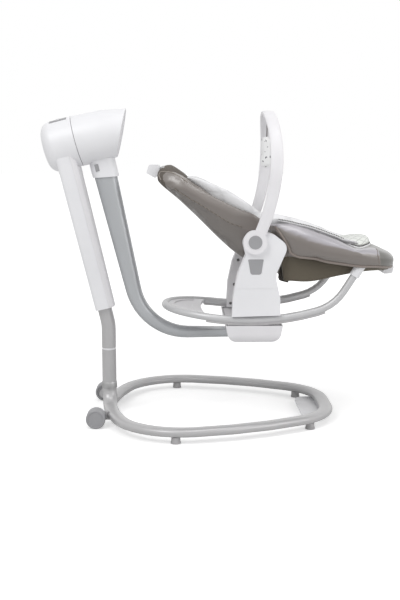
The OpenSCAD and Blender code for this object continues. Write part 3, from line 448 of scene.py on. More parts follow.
def curve_points(points, count):
    """count points spaced evenly on a smooth curve through points."""
    pts = [Vector(p) for p in points]
    fine = []
    for i in range(len(pts) - 1):
        p0 = pts[i - 1] if i else pts[0] * 2 - pts[1]
        p1, p2 = pts[i], pts[i + 1]
        p3 = pts[i + 2] if i + 2 < len(pts) else pts[-1] * 2 - pts[-2]
        for k in range(CURVE_STEPS):
            t = k / CURVE_STEPS
            fine.append(0.5 * (2 * p1 + (p2 - p0) * t + (2 * p0 - 5 * p1 + 4 * p2 - p3) * t * t
                               + (3 * p1 - p0 - 3 * p2 + p3) * t ** 3))
    fine.append(pts[-1])
    total = sum((b - a).length for a, b in zip(fine, fine[1:]))
    out, run, i = [], 0.0, 0
    for wanted in [total * k / (count - 1) for k in range(count)]:
        while i < len(fine) - 2 and run + (fine[i + 1] - fine[i]).length < wanted:
            run += (fine[i + 1] - fine[i]).length
            i += 1
        span = (fine[i + 1] - fine[i]).length or 1.0
        out.append(fine[i].lerp(fine[i + 1], min(1.0, (wanted - run) / span)))
    return out


def heading(pts, i):
    """Direction of a line of points at point i."""
    return (pts[min(i + 1, len(pts) - 1)] - pts[max(i - 1, 0)]).normalized()


def halves(rows):
    """The left rows of a section, then its right rows back to the start, with each side's sign."""
    return (1, rows), (-1, list(reversed(rows[1:])))


def subdivide(obj):
    modifier = obj.modifiers.new("subdivision", "SUBSURF")
    modifier.levels = modifier.render_levels = 1


def grid_mesh(name, rings, material):
    """A closed piece over rings of points in mm, with a UV map in metres of cloth."""
    count, wide = len(rings), len(rings[0])
    verts = [p * MM for ring in rings for p in ring]
    along = [0.0]
    for a, b in zip(rings, rings[1:]):
        along.append(along[-1] + sum((q - p).length for p, q in zip(a, b)) / wide * MM)
    around = [0.0]
    middle = rings[count // 2]
    for j in range(wide):
        around.append(around[-1] + (middle[(j + 1) % wide] - middle[j]).length * MM)
    faces, uvs = [], []
    for i in range(count - 1):
        here, there = i * wide, (i + 1) * wide
        for j in range(wide):
            m = (j + 1) % wide
            faces.append((here + j, here + m, there + m, there + j))
            uvs += [(around[j], along[i]), (around[j + 1], along[i]),
                    (around[j + 1], along[i + 1]), (around[j], along[i + 1])]
    for ring in (range(wide - 1, -1, -1), range((count - 1) * wide, count * wide)):
        verts.append(sum((verts[j] for j in ring), Vector()) / wide)
        for j in range(wide):
            faces.append((ring[j], ring[(j + 1) % wide], len(verts) - 1))
            uvs += [(0.0, 0.0), (0.01, 0.0), (0.0, 0.01)]
    mesh = bpy.data.meshes.new(name)
    mesh.from_pydata(verts, [], faces)
    layer = mesh.uv_layers.new(name="UVMap")
    for corner, uv in zip(layer.data, uvs):
        corner.uv = uv
    mesh.polygons.foreach_set("use_smooth", [True] * len(mesh.polygons))
    mesh.materials.append(material)
    mesh.update()
    obj = bpy.data.objects.new(name, mesh)
    bpy.context.scene.collection.objects.link(obj)
    subdivide(obj)
    turn_outward(mesh)
    return obj


def turn_outward(mesh):
    """Turns every face of a closed mesh to look outward."""
    bm = bmesh.new()
    bm.from_mesh(mesh)
    bmesh.ops.recalc_face_normals(bm, faces=bm.faces)
    bm.to_mesh(mesh)
    bm.free()


def tube(name, points, radius, material, count, flat=1.0):
    """Piping or tape on a smooth curve through points in mm."""
    pts = curve_points(points, count)
    turns = [2 * math.pi * k / TUBE_SIDES for k in range(TUBE_SIDES)]
    side = heading(pts, 0).orthogonal().normalized()
    rings = []
    for i, p in enumerate(pts):
        run = heading(pts, i)
        side = (side - run * side.dot(run)).normalized()
        up = run.cross(side)
        rings.append([p + side * (radius * math.cos(turn)) + up * (radius * flat * math.sin(turn))
                      for turn in turns])
    return grid_mesh(name, rings, material)


def wrinkle(p, size, stretch, seed):
    """Signed fold depth at p, from layered noise."""
    q = Vector((p[0] * stretch[0], p[1] * stretch[1], p[2] * stretch[2])) / size
    q += Vector((seed, seed * 0.7, 3.1))
    return noise.noise(q) + 0.5 * noise.noise(q * 2.1)


# ---------- padded cloth ----------

# Grid of a piece before it swells, in metres, and how much its cloth grows.
PUFF_VOXEL, PUFF_GROWTH = 0.005, 0.02
PUFF_PRESSURE, PUFF_FRAMES = 4.0, 20
# The furthest that a point moves, in mm.
PUFF_LIMIT = 5.0


def box_map(obj):
    """Lays the UV map of a simulated piece along its own faces, in metres."""
    mesh = obj.data
    layer = mesh.uv_layers.active or mesh.uv_layers.new(name="UVMap")
    for face in mesh.polygons:
        n = face.normal
        flat = max(range(3), key=lambda k: abs(n[k]))
        a, b = [k for k in range(3) if k != flat]
        for loop in face.loop_indices:
            p = mesh.vertices[mesh.loops[loop].vertex_index].co
            layer.data[loop].uv = (p[a], p[b])


def applied(obj):
    """A mesh of a piece as its modifiers leave it. The modifiers are taken off."""
    graph = bpy.context.evaluated_depsgraph_get()
    mesh = bpy.data.meshes.new_from_object(obj.evaluated_get(graph), depsgraph=graph)
    obj.modifiers.clear()
    return mesh


def puffed(obj):
    """Swells a closed piece as padded cloth."""
    scene = bpy.context.scene
    looks = list(obj.data.materials)
    remesh = obj.modifiers.new("remesh", "REMESH")
    remesh.mode, remesh.voxel_size, remesh.use_smooth_shade = "VOXEL", PUFF_VOXEL, True
    obj.data = applied(obj)
    start = [v.co.copy() for v in obj.data.vertices]
    sheet = obj.modifiers.new("cloth", "CLOTH")
    settings = sheet.settings
    settings.quality, settings.mass = 6, 0.25
    settings.tension_stiffness = settings.compression_stiffness = 14.0
    settings.bending_stiffness = 0.35
    settings.shrink_min = -PUFF_GROWTH
    settings.use_pressure, settings.uniform_pressure_force = True, PUFF_PRESSURE
    settings.effector_weights.gravity = 0.0
    sheet.collision_settings.use_collision = False
    sheet.point_cache.frame_start, sheet.point_cache.frame_end = 1, PUFF_FRAMES
    for frame_number in range(1, PUFF_FRAMES + 1):
        scene.frame_set(frame_number)
    bpy.context.view_layer.update()
    done = applied(obj)
    for vertex, was in zip(done.vertices, start):
        move = vertex.co - was
        if move.length > PUFF_LIMIT * MM:
            vertex.co = was + move.normalized() * PUFF_LIMIT * MM
    obj.data = done
    scene.frame_set(1)
    done.materials.clear()
    for look in looks:
        done.materials.append(look)
    done.polygons.foreach_set("use_smooth", [True] * len(done.polygons))
    box_map(obj)
    subdivide(obj)


def paint(obj, pick):
    """Gives each face of a piece the material number that pick says for its middle, in mm."""
    for face in obj.data.polygons:
        face.material_index = pick(face.center / MM)


class Surface:
    """The finished face of a piece, for seams laid on it."""

    def __init__(self, obj):
        graph = bpy.context.evaluated_depsgraph_get()
        self.tree = BVHTree.FromObject(obj, graph)

    def near(self, p, lift):
        """The surface's nearest point to p, lift mm proud of it."""
        hit, normal = self.tree.find_nearest(Vector(p) * MM)[:2]
        return hit / MM + normal * lift


# ---------- backrest cover ----------

PIVOT = Vector((78.0, 0.0, 448.0))
SLOPE = math.radians(43)
UP_BACK = Vector((-math.cos(SLOPE), 0.0, math.sin(SLOPE)))
OFF_BACK = Vector((math.sin(SLOPE), 0.0, math.cos(SLOPE)))

# Half width of the back, how much wider it is above the hips, and the radius of its head's round
# corners, which start HEAD_START mm up.
BACK_HALF, BACK_SPREAD = 120.5, 1.3
HEAD_START, HEAD_RADIUS = 240.0, 82.0
# The floor between the wings, in mm in front of the back's plane.
BACK_FLOOR = -8.0
# The wings turn into the bolster from WING_END mm up, over WING_BLEND mm.
WING_END, WING_BLEND = 234.0, 16.0
# How far the outer face is drawn in low down, where the tilted back passes the seat's rim.
RIM_ROOM = 4.0
HEAD_PANEL_START = 243

# Rows of (mm up the back, mm in front of its plane): the panel behind it, the seam along its
# side, the edge of its wings and the top of the head's bolster.
BACK_LOW = [
    (-12, -14), (6, -21), (40, -25.5), (92, -26.5), (156, -24.5), (231, -24), (280, -27),
    (303, -26), (315, -20), (320, -12)]
BACK_SEAM = [
    (-12, 34), (60, 32), (75, 28), (92, 20), (122, 13), (167, 5), (198, -2), (220, -9),
    (250, -15), (276, -21), (300, -22), (320, -11)]
BACK_EDGE = [
    (-12, 85), (30, 84), (57, 82), (80, 74), (105, 63.5), (135, 54), (164, 45), (194, 37.5),
    (213, 34), (234, 29.5), (252, 26), (270, 22), (289, 14), (303, 3), (312, -5), (320, -9)]
BACK_CROWN = [
    (200, 36), (240, 28), (252, 25), (276, 22), (296, 19), (308, 13.5), (315, 7), (320, -1)]
# Rows of (mm in front of the plane, mm up the back) along the low edge of the head panel.
HEAD_PANEL_EDGE = [(-32, 268), (-24, 280), (-18, 293), (-10, 301), (-3, 302), (4, 300)]


def back_at(u, v, y):
    """Point u mm up the back from its pivot, v mm in front of it."""
    return PIVOT + UP_BACK * u + OFF_BACK * v + Vector((0, y, 0))


def back_uv(p):
    """How far p is up the back and in front of it, in mm."""
    q = p - PIVOT
    return q.dot(UP_BACK), q.dot(OFF_BACK)


def back_width(u):
    """Half width of the back, u mm up it."""
    over = max(0.0, u - HEAD_START)
    half = BACK_HALF + BACK_SPREAD * clamp((u - 60.0) / 30.0)
    return half - HEAD_RADIUS + math.sqrt(max(0.0, HEAD_RADIUS ** 2 - over ** 2))


def back_ring(u):
    """Section of the back: its panel, its side, and a wing that turns into the head's bolster."""
    low, seam, edge = table(BACK_LOW, u), table(BACK_SEAM, u), table(BACK_EDGE, u)
    w = back_width(u)
    head = clamp((u - WING_END) / WING_BLEND)
    tall, crown = edge - BACK_FLOOR, table(BACK_CROWN, u) - edge
    wing = [
        (w - 6, edge + 1.5), (w - 13, edge - 1), (w - 18, BACK_FLOOR + 0.62 * tall),
        (w - 21, BACK_FLOOR + 0.25 * tall), (w - 28, BACK_FLOOR + 2), (w - 46, BACK_FLOOR),
        (0.3 * w, BACK_FLOOR)]
    bolster = [
        (w - 5, edge + 0.3 * crown), (0.9 * w - 3, edge + 0.55 * crown),
        (0.78 * w, edge + 0.76 * crown), (0.64 * w, edge + 0.9 * crown),
        (0.48 * w, edge + 0.97 * crown), (0.32 * w, edge + crown), (0.16 * w, edge + crown)]
    half = [
        (0.0, low), (0.4 * w, low), (0.75 * w, low + 0.5), (w - 11, low + 2), (w - 3.5, low + 7),
        (w, low + 0.45 * (seam - low)), (w, seam - 5), (w - 1.5, seam - 0.5), (w + 0.5, seam + 4),
        (w + 2, seam + 0.35 * (edge - seam)), (w + 1.5, seam + 0.75 * (edge - seam)),
        (w - 1.5, edge - 2)]
    half += [(a[0] + (b[0] - a[0]) * head, a[1] + (b[1] - a[1]) * head)
             for a, b in zip(wing, bolster)]
    narrow = RIM_ROOM * clamp((90.0 - u) / 30.0)
    ring = []
    for sign, rows in halves(half):
        for y, v in rows:
            outer = clamp((y - w + 13) / 10) * clamp((v - 20) / 25)
            p = back_at(u, v, sign * (y - narrow * outer))
            if y > w - 12:
                p.y += sign * 0.6 * wrinkle(p, size=70.0, stretch=(1.0, 1.0, 1.0), seed=9.0)
            ring.append(p)
    return ring


def back_pick(p):
    """Material of the cover at p: 2 is the head panel, 1 the back panel below the side seam,
    painted darker as shade, 0 the rest.
    """
    u, v = back_uv(p)
    if u > HEAD_PANEL_START:
        if v > table(BACK_EDGE, u) - 1 or (v < 4 and u > table(HEAD_PANEL_EDGE, v)):
            return 2
    return 1 if v < table(BACK_SEAM, u) - 1 else 0


def make_backrest():
    # Below the wings only the panel goes on, which leaves room for the cross bar when the back
    # tilts.
    rings = [[p - OFF_BACK * max(0.0, back_uv(p)[1] - BACK_FLOOR) for p in back_ring(u)]
             for u in (-12, -4, 8, 19)]
    stations = [21, 26] + [32 + 12 * k for k in range(22)]
    stations += [292, 299, 305, 310, 314, 317, 319.5]
    rings += [back_ring(u) for u in stations]
    cover = grid_mesh("backrest_padding", rings, FABRIC)
    for look in (FABRIC_SHADE, FABRIC_BROWN):
        cover.data.materials.append(look)
    puffed(cover)
    paint(cover, back_pick)
    face = Surface(cover)
    parts = [cover]
    side_seam = [(u, table(BACK_SEAM, u)) for u in range(66, 270, 12)]
    head_seam = [(u, table(BACK_EDGE, u)) for u in range(246, 306, 6)]
    head_seam += [(309, -6), (311, -12), (307, -18), (298, -23)]
    for side, label in SIDES:
        for name, line, size, look in (("back_seam_", side_seam, 1.4, PIPING),
                                       ("head_seam_", head_seam, 1.5, PALE_PIPE)):
            pts = []
            for u, v in line:
                p = back_at(u, v, side * (back_width(u) + (1.0 if u < 306 else -2.0)))
                pts.append(face.near(p, 0.3))
            parts.append(tube(name + label, pts, size, look, count=70))
    for part in parts:
        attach(part, "backrest")
    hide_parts("backrest_cover")


make_backrest()


# ---------- seat front ----------

# Rows of (x, z) along the soft rim: its top inner edge, its shoulder and its lower seam.
RIM_TOP = [
    (127, 528), (154, 531), (185, 527), (216, 518), (247, 508), (278, 497), (303, 486),
    (328, 473), (353, 467), (390, 466), (420, 459), (442, 451)]
RIM_SHOULDER = [
    (127, 516), (140, 512), (185, 500), (224, 489), (270, 479), (310, 470), (346, 462),
    (390, 453), (420, 444), (442, 434)]
RIM_SEAM = [
    (127, 438), (185, 435.5), (215, 434), (246, 429), (292, 424), (338, 419), (385, 416),
    (420, 412), (448, 409)]
# Rows of (z, mm) that the rim's rear end slants forward, along its side and at its very end.
RIM_SLANT = [(441, 51), (457, 42), (475, 34), (491, 25), (508, 9), (519, 0), (535, -2)]
RIM_TUCK = [
    (441, 33), (452, 38), (462, 41), (472, 41), (485, 31), (500, 12), (508, 6), (519, 0),
    (535, -2)]
# Points (x, y) of the rim seen from above, from its right rear end to the middle of its front.
RIM_PLAN = [
    (116, -128), (119, -132), (124, -140), (132, -148), (146, -152), (190, -153), (240, -153.5),
    (300, -155), (350, -153.5), (393, -139), (424, -107), (436, -64), (437, -34), (437, 0)]
RIM_RINGS = 95
# Points (x, z) of the piping down the rim's rear end, and how far the piping stands proud.
PIPE_REAR = [(129, 520), (140, 508), (152, 494), (161, 480), (168, 466), (174, 452)]
PIPE_LIFT = 1.5
# Points (z, y) of the seam across the rim's nose, up its side and over its top.
NOSE_LINE = [(z, 165) for z in range(416, 456, 6)] + [(462, 146), (466, 132), (464, 120)]

# Rows of (x, z) along the skirt: its underside and its upper edge.
SKIRT_LOW = [
    (121, 441), (152, 438), (157, 381), (172, 377), (216, 374), (250, 378), (284, 386),
    (329, 395), (372, 401), (424, 402), (438, 404)]
SKIRT_HIGH = [
    (121, 506), (150, 500), (176, 470), (192, 444), (215, 441), (246, 435), (292, 427),
    (338, 422), (385, 418), (438, 414)]
# The height of the skirt's floor, and rows of (x, mm) that it is raised towards the feet.
SKIRT_FLOOR = 446
SKIRT_RAISE = [(270, 0), (310, 29), (345, 36), (438, 38)]

# A strap's distance from the middle, its sway, half its thickness, and its rings.
STRAP_AT, STRAP_SWAY, STRAP_HALF, STRAP_RINGS = 106, 2.5, 0.9, 18
# Points (x, z) down a strap, and along the end of it that curls up.
STRAP_HANG = [(163, 432), (160, 418), (156, 404), (153, 392), (152, 382)]
STRAP_CURL = [(148, 383), (153, 380), (160, 377.5), (167, 376), (172, 375.5)]


def rim_place(p, out, d, z):
    """Point of the rim d mm outside its path, with the rear end slanting forward as it drops."""
    seam = clamp((p.x - 116) / 15)
    slant = table(RIM_SLANT, z) * seam + table(RIM_TUCK, z) * (1 - seam)
    slant *= clamp((260 - p.x) / 125)
    return Vector((p.x + out.x * d + slant, p.y + out.y * d, z))


def rim_ring(p, out):
    """Section of the padded rim at point p of its path, slimmer towards its rear end."""
    top, shoulder = table(RIM_TOP, p.x), table(RIM_SHOULDER, p.x)
    low = table(RIM_SEAM, p.x) - 2
    tall, slope = shoulder - low, top - shoulder
    # How much of its width the rim has outside its path and inside it.
    full, deep = clamp((p.x - 124) / 70, 0.08), clamp((p.x - 116) / 46, 0.15)
    section = [
        (-20, low + 2), (-2, low - 1), (7, low + 1), (10.5, low + 0.18 * tall),
        (12.5, low + 0.45 * tall), (11.5, low + 0.78 * tall), (8, shoulder + 1),
        (-1, shoulder + 0.4 * slope), (-12, shoulder + 0.78 * slope), (-22, top), (-29, top - 2),
        (-33, low + 0.7 * tall), (-33, low + 0.35 * tall), (-29, low + 0.1 * tall)]
    ring = []
    for d, z in section:
        q = rim_place(p, out, d * (full if d > 0 else deep), z)
        fold = wrinkle(q, size=85.0, stretch=(0.8, 0.8, 1.3), seed=2.0)
        q = q + out * (1.3 * fold * full if d > 0 else 0.0)
        q.z += 0.6 * fold if d > -12 else 0.0
        ring.append(q)
    return ring


def make_rim():
    """The padded rim, its piping and the two seams of its nose."""
    mirrored = [(x, -y) for x, y in reversed(RIM_PLAN[:-1])]
    path = curve_points([(x, y, 0) for x, y in RIM_PLAN + mirrored], RIM_RINGS)
    runs = [heading(path, i) for i in range(RIM_RINGS)]
    places = [(p, Vector((run.y, -run.x, 0))) for p, run in zip(path, runs)]
    rim = grid_mesh("seat_front_rim", [rim_ring(p, out) for p, out in places], FABRIC_RIM)
    puffed(rim)
    face = Surface(rim)
    line = [face.near((x, -153, z), PIPE_LIFT) for x, z in PIPE_REAR]
    for p, out in places[:RIM_RINGS // 2 + 1]:
        if p.x > 142:
            spot = rim_place(p, out, 10.5, table(RIM_SEAM, p.x) + 0.5)
            line.append(face.near(spot, PIPE_LIFT))
    line += [Vector((q.x, -q.y, q.z)) for q in reversed(line[:-1])]
    parts = [rim, tube("seat_front_piping", line, 3.4, PIPE_CLOTH, count=220)]
    for side, label in SIDES:
        seam = [face.near((NOSE_SEAM - NOSE_LEAN * z, side * y, z), 0.2) for z, y in NOSE_LINE]
        parts.append(tube("nose_seam_" + label, seam, 1.1, PIPE_CLOTH, count=50))
    return parts


def skirt_ring(x):
    """Section of the cloth tray that hangs under the rim."""
    half = min(121.5, 108 + 0.45 * (x - 121)) if x < 152 else 121.5 + 8.5 * clamp((x - 152) / 20)
    half -= 30 * clamp((x - 340) / 98) ** 2
    low, high = table(SKIRT_LOW, x), table(SKIRT_HIGH, x)
    tall = high - low
    floor = min(high - 4, SKIRT_FLOOR) + table(SKIRT_RAISE, x)
    section = [
        (0.0, low), (0.5 * half, low), (0.86 * half, low + 0.5), (half - 5, low + 2),
        (half - 1, low + 7), (half, low + 0.35 * tall), (half + 1.5, low + 0.7 * tall),
        (half + 1, high - 2), (half - 4, high), (half - 9, high - 5),
        (half - 14, 0.4 * high + 0.6 * floor), (half - 20, floor), (0.4 * half, floor)]
    ring = []
    for sign, rows in halves(section):
        for y, z in rows:
            p = Vector((x, y * sign, z))
            if y > 0.8 * half and x > 165:
                fold = wrinkle(p, size=55.0, stretch=(1.1, 0.3, 0.6), seed=6.0)
                p.y = sign * (y + 1.6 * fold)
            ring.append(p)
    return ring


def make_skirt():
    stations = [121, 128, 136, 144, 151, 155, 158, 162, 168]
    stations += [176 + 12 * k for k in range(22)] + [436]
    rings = [skirt_ring(x) for x in stations]
    # The rear end closes over a ring that is pressed down to the floor.
    rings.insert(0, [Vector((p.x - 1, p.y, min(p.z, SKIRT_FLOOR))) for p in rings[0]])
    skirt = grid_mesh("seat_front_skirt", rings, FABRIC_DARK)
    skirt.data.materials.append(FABRIC_SHADE)
    # The floor's top faces near the feet take the seat fabric's painted-shade copy.
    paint(skirt, lambda p: 1 if p.z > 434 and p.x > 285 else 0)
    return skirt


def make_straps():
    """Ends of the webbing that show under the seat beside each column."""
    parts = []
    for side, label in SIDES:
        for name, spots, wide in (("strap_", STRAP_HANG, 7.5), ("strap_end_", STRAP_CURL, 3.6)):
            pts = curve_points([(x, 0, z) for x, z in spots], STRAP_RINGS)
            rings = []
            for i, q in enumerate(pts):
                run = heading(pts, i)
                across = Vector((run.z, 0, -run.x)) * wide
                y = side * (STRAP_AT + STRAP_SWAY * math.sin(i * 0.5))
                right, left = Vector((0, y - STRAP_HALF, 0)), Vector((0, y + STRAP_HALF, 0))
                rings.append([q + across + right, q + across + left,
                              q - across + left, q - across + right])
            parts.append(grid_mesh(name + label, rings, TAPE))
    return parts


def make_front():
    parts = make_rim()
    skirt = make_skirt()
    straps = make_straps()
    for part in parts + [skirt]:
        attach(part, "rocker")
    for part in straps:
        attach(part, "rocker")
    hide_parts("seat_front_cover")


make_front()


# ---------- white liner ----------

LINER_RINGS = 76
LINER_THICK = 11.0
# Stations from the head end to the feet: the floor's middle x and z, its half width, the wings'
# height and the distance of their edges from the middle.
LINER_STATIONS = [
    (-93, 632, 66, 8, 92), (-86, 625.5, 82, 15, 106), (-75, 615.5, 90, 23, 113),
    (-44, 587, 94, 37, 116.5), (-13, 557.5, 95, 52, 117.5), (10, 536, 95, 58, 118),
    (32, 516, 95, 63, 118.5), (54, 495.5, 95, 65, 119), (77, 482, 95, 63, 120),
    (104, 474, 95, 61, 122), (135, 469, 95, 63, 124), (160, 465.5, 95, 62.5, 125),
    (184, 463, 95, 59.5, 125.5), (215, 461, 95, 55, 126), (246, 460, 96, 47, 126),
    (277, 460, 97, 36, 126), (297, 461, 98, 29, 125), (320, 465, 98, 15, 120),
    (342, 468, 92, 5, 106), (358, 468.5, 74, 1, 80)]
# The trim runs between these x, as (mm below the wing's edge, mm outside it) of its two lines.
TRIM_START, TRIM_END = 130, 318
TRIM_LINES = ((1.2, 4.0), (4.2, 3.8))


def liner_section(half, wing, reach, t):
    """Rows of (y, height) over one half of the liner and back under it, t mm thick."""
    lean = reach - half
    return [
        (0.0, t / 2), (0.45 * half, t / 2 + 1), (half - 24, t / 2 + 1.5),
        (half - 10, t / 2 + 4 + 0.1 * wing), (half - 7 + 0.35 * lean, 0.45 * wing + t / 2),
        (half - 9 + 0.75 * lean, 0.82 * wing + t / 2), (half - 7 + lean, wing + t / 2 - 1),
        (half - 3 + lean, wing + t / 2 + 2), (half + 2 + lean, wing + t / 2 - 1),
        (half + 2 + 0.85 * lean, 0.85 * wing + 1), (half + 1 + 0.35 * lean, 0.45 * wing),
        (half - 1, 0.1 * wing - t / 4), (half - 14, -t / 2), (0.45 * half, -t / 2),
        (0.0, -t / 2)]


def make_liner():
    spans, last = len(LINER_STATIONS) - 1, LINER_RINGS - 1
    columns = [[(k, row[j]) for k, row in enumerate(LINER_STATIONS)] for j in range(5)]
    spots = [[table(column, spans * i / last) for column in columns] for i in range(LINER_RINGS)]
    rings, edges = [], {-1: [], 1: []}
    for i, (x, z, half, wing, reach) in enumerate(spots):
        p = Vector((x, 0, z))
        before, after = spots[max(0, i - 1)], spots[min(last, i + 1)]
        run = Vector((after[0] - before[0], 0, after[1] - before[1])).normalized()
        up = Vector((-run.z, 0, run.x))
        t = LINER_THICK * min(1.0, 0.4 + i / 8, 0.4 + (last - i) / 8)
        rows = liner_section(half, wing, reach, t)
        ring = [p + up * v + Vector((0, y, 0)) for y, v in rows[:-1]]
        ring += [p + up * v - Vector((0, y, 0)) for y, v in reversed(rows[1:])]
        rings.append(ring)
        if TRIM_START < x < TRIM_END:
            for side in (-1, 1):
                edges[side].append([
                    p + up * (wing + t / 2 - drop) + Vector((0, side * (reach + proud), 0))
                    for drop, proud in TRIM_LINES])
    liner = grid_mesh("seat_liner", rings, LINER)
    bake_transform(liner)
    for side, label in SIDES:
        for name, pick, size, look in (("liner_edge_", 0, 1.8, ZIGZAG),
                                       ("liner_binding_", 1, 2.0, PLAIN_WHITE)):
            line = [spot[pick] for spot in edges[side]]
            edge = tube(name + label, line, size, look, count=120)
            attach(edge, "rocker")


make_liner()


# ---------- quilted flap over the feet end ----------

# Half width of the flap, and the x where its round end starts and how far that end reaches.
FLAP_HALF = 102.0
FLAP_TURN, FLAP_REACH = 338, 59.0
# Beyond FLAP_TIP the flap is thinner.
FLAP_TIP = 392
FLAP_STATIONS = (298, 306, 316, 326, 338, 350, 362, 373, 382, 389, 394, 396.4)
# Rows of (x, z) along the flap: its middle and its edge.
FLAP_CROWN = [(298, 476), (321, 478), (342, 484.5), (371, 488), (391, 484.5), (397, 476)]
FLAP_EDGE = [(298, 484), (316, 477), (338, 469), (357, 464.5), (380, 468), (397, 470)]


def flap_half(x):
    """Half width of the flap at x."""
    if x < FLAP_TURN:
        return FLAP_HALF
    return FLAP_HALF * math.sqrt(max(0.0, 1 - ((x - FLAP_TURN) / FLAP_REACH) ** 2))


def make_flap():
    rings, border = [], {-1: [], 1: []}
    for x in FLAP_STATIONS:
        half, crown, edge = flap_half(x), table(FLAP_CROWN, x), table(FLAP_EDGE, x)
        thick = 5.0 if x < FLAP_TIP else 3.5
        over, under = [], []
        for t in [k / 8 for k in range(-8, 9)]:
            middle = crown - thick + (edge - crown + thick) * abs(t) ** 2.5
            over.append(Vector((x, t * half, middle + thick * (1 - t ** 6))))
            under.append(Vector((x, t * half, middle - 3)))
        rings.append(over + under[-2:0:-1])
        for side in (-1, 1):
            border[side].append(Vector((x, side * (half + 0.6), edge - 0.3)))
    flap = grid_mesh("feet_flap", rings, FLAP)
    line = border[-1][:-1] + [Vector((397.4, 0, 470.5))] + list(reversed(border[1][:-1]))
    outline = tube("flap_outline", line, 1.1, BINDING, count=130)
    low = [q + Vector((0, math.copysign(1.2, q.y) if q.x < FLAP_TIP else 0, -4.0)) for q in line]
    binding = tube("flap_binding", low, 3.0, PLAIN_WHITE, count=130)
    for part in (flap, outline, binding):
        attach(part, "rocker")


make_flap()


# ---------- hanging toy ----------

TOY_RINGS, TOY_SIDES = 18, 20
TAPE_STEPS = 8


def toy_rings():
    """Sections of a rounded bar with a slight waist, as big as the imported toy."""
    low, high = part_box("hanging_toy")
    centre = (low + high) / 2 / MM
    half = (high - low) / 2 / MM
    rings = []
    for k in range(TOY_RINGS + 1):
        t = -1 + 2 * k / TOY_RINGS
        edge = max(0.0, 1 - abs(t) ** 5) ** 0.5
        waist = 1 - 0.10 * math.cos(math.pi * t)
        rx = half.x * (0.25 + 0.75 * edge) * waist
        ry = half.y * (0.15 + 0.85 * edge) * (1 - 0.12 * t)
        ring = []
        for j in range(TOY_SIDES):
            a = 2 * math.pi * j / TOY_SIDES
            c, s = math.cos(a), math.sin(a)
            x = math.copysign(abs(c) ** 0.75, c) * rx
            y = math.copysign(abs(s) ** 0.9, s) * ry
            ring.append(centre + Vector((x, y, t * half.z)))
        rings.append(ring)
    return rings


def make_toy():
    toy = grid_mesh("plush_toy", toy_rings(), PLUSH)
    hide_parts("hanging_toy")
    low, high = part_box("toy_ribbon")
    mid = (low + high) / 2 / MM
    top, bottom = high.z / MM, low.z / MM
    levels = [top - (top - bottom) * k / TAPE_STEPS for k in range(TAPE_STEPS + 1)]
    pts = [Vector((mid.x + 0.6 * math.sin(4 * (top - z) / (top - bottom)), mid.y, z))
           for z in levels]
    ribbon = tube("toy_tape", pts, 3.0, GREY_TAPE, flat=0.2, count=20)
    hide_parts("toy_ribbon")
    for part, name in ((toy, "toy_fabric"), (ribbon, "ribbon_fabric")):
        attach(part, "toy")


make_toy()


# ---------- floor and light ----------

FLOOR_SIZE, FLOOR_DROP = 30.0, 0.0005
FLOOR_GREY = (0.86, 0.86, 0.86, 1)
# The floor glows to the camera only, from the first level to the second between these distances
# from the middle, so that it fades into the white around it.
GLOW_NEAR, GLOW_FAR = 0.7, 2.6
GLOW_LOW, GLOW_HIGH = 0.45, 0.75
# The world's strength as light, and as what the camera, glass and gloss see.
WORLD_LIGHT, WORLD_SEEN = 0.52, 1.0
# Each lamp's place, the spot that it faces, its size in metres and its power in watts.
LAMPS = (
    ("key", (-1.6, -2.2, 3.0), (0, 0, 0.45), 1.8, 41.0),
    ("fill", (2.6, -1.8, 1.8), (0, 0, 0.45), 2.2, 23.0),
    ("top", (0.55, -0.6, 3.4), (0, 0, 0.3), 1.5, 20.0))


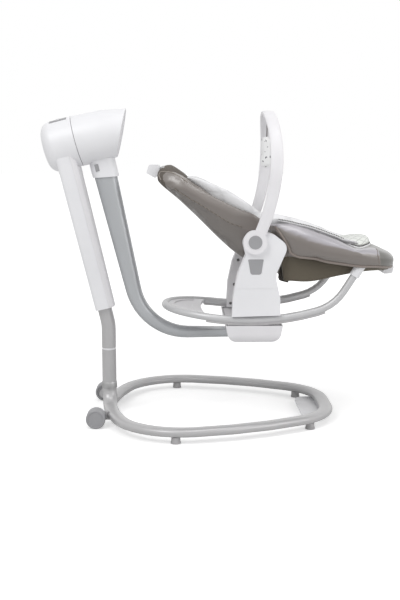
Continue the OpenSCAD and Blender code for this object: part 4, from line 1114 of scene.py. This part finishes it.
def floor_material():
    mat = bpy.data.materials.new("floor")
    mat.use_nodes = True
    new, link = mat.node_tree.nodes.new, mat.node_tree.links.new
    mat.node_tree.nodes.clear()
    out, add = new("ShaderNodeOutputMaterial"), new("ShaderNodeAddShader")
    diffuse, glow = new("ShaderNodeBsdfDiffuse"), new("ShaderNodeEmission")
    path, seen = new("ShaderNodeLightPath"), new("ShaderNodeMath")
    where, away = new("ShaderNodeNewGeometry"), new("ShaderNodeVectorMath")
    level = new("ShaderNodeMapRange")
    diffuse.inputs["Color"].default_value = FLOOR_GREY
    away.operation, seen.operation = "LENGTH", "MULTIPLY"
    for socket, value in (("From Min", GLOW_NEAR), ("From Max", GLOW_FAR),
                          ("To Min", GLOW_LOW), ("To Max", GLOW_HIGH)):
        level.inputs[socket].default_value = value
    link(where.outputs["Position"], away.inputs[0])
    link(away.outputs["Value"], level.inputs["Value"])
    link(path.outputs["Is Camera Ray"], seen.inputs[0])
    link(level.outputs["Result"], seen.inputs[1])
    link(seen.outputs[0], glow.inputs["Strength"])
    link(diffuse.outputs[0], add.inputs[0])
    link(glow.outputs[0], add.inputs[1])
    link(add.outputs[0], out.inputs["Surface"])
    return mat


def make_floor():
    mesh = bpy.data.meshes.new("floor")
    corners = [(x * FLOOR_SIZE, y * FLOOR_SIZE, 0) for x, y in ((-1, -1), (1, -1), (1, 1), (-1, 1))]
    mesh.from_pydata(corners, [], [(0, 1, 2, 3)])
    floor = bpy.data.objects.new("floor", mesh)
    bpy.context.scene.collection.objects.link(floor)
    floor.location.z = -FLOOR_DROP
    mesh.materials.append(floor_material())


def make_world():
    world = bpy.data.worlds.new("world")
    bpy.context.scene.world = world
    world.use_nodes = True
    new, link = world.node_tree.nodes.new, world.node_tree.links.new
    background = world.node_tree.nodes["Background"]
    background.inputs["Color"].default_value = (1, 1, 1, 1)
    path, strength = new("ShaderNodeLightPath"), new("ShaderNodeMapRange")
    seen, glossy = new("ShaderNodeMath"), new("ShaderNodeMath")
    seen.operation = glossy.operation = "MAXIMUM"
    link(path.outputs["Is Camera Ray"], seen.inputs[0])
    link(path.outputs["Is Transmission Ray"], seen.inputs[1])
    link(seen.outputs[0], glossy.inputs[0])
    link(path.outputs["Is Glossy Ray"], glossy.inputs[1])
    strength.inputs["To Min"].default_value = WORLD_LIGHT
    strength.inputs["To Max"].default_value = WORLD_SEEN
    link(glossy.outputs[0], strength.inputs["Value"])
    link(strength.outputs["Result"], background.inputs["Strength"])


def make_lamps():
    for name, spot, aim, size, power in LAMPS:
        data = bpy.data.lights.new(name, "AREA")
        data.energy, data.size = power, size
        lamp = bpy.data.objects.new(name, data)
        lamp.location = spot
        lamp.rotation_euler = (Vector(aim) - Vector(spot)).to_track_quat("-Z", "Y").to_euler()
        bpy.context.scene.collection.objects.link(lamp)


make_floor()
make_world()
make_lamps()
bpy.context.scene.view_settings.view_transform = "Standard"
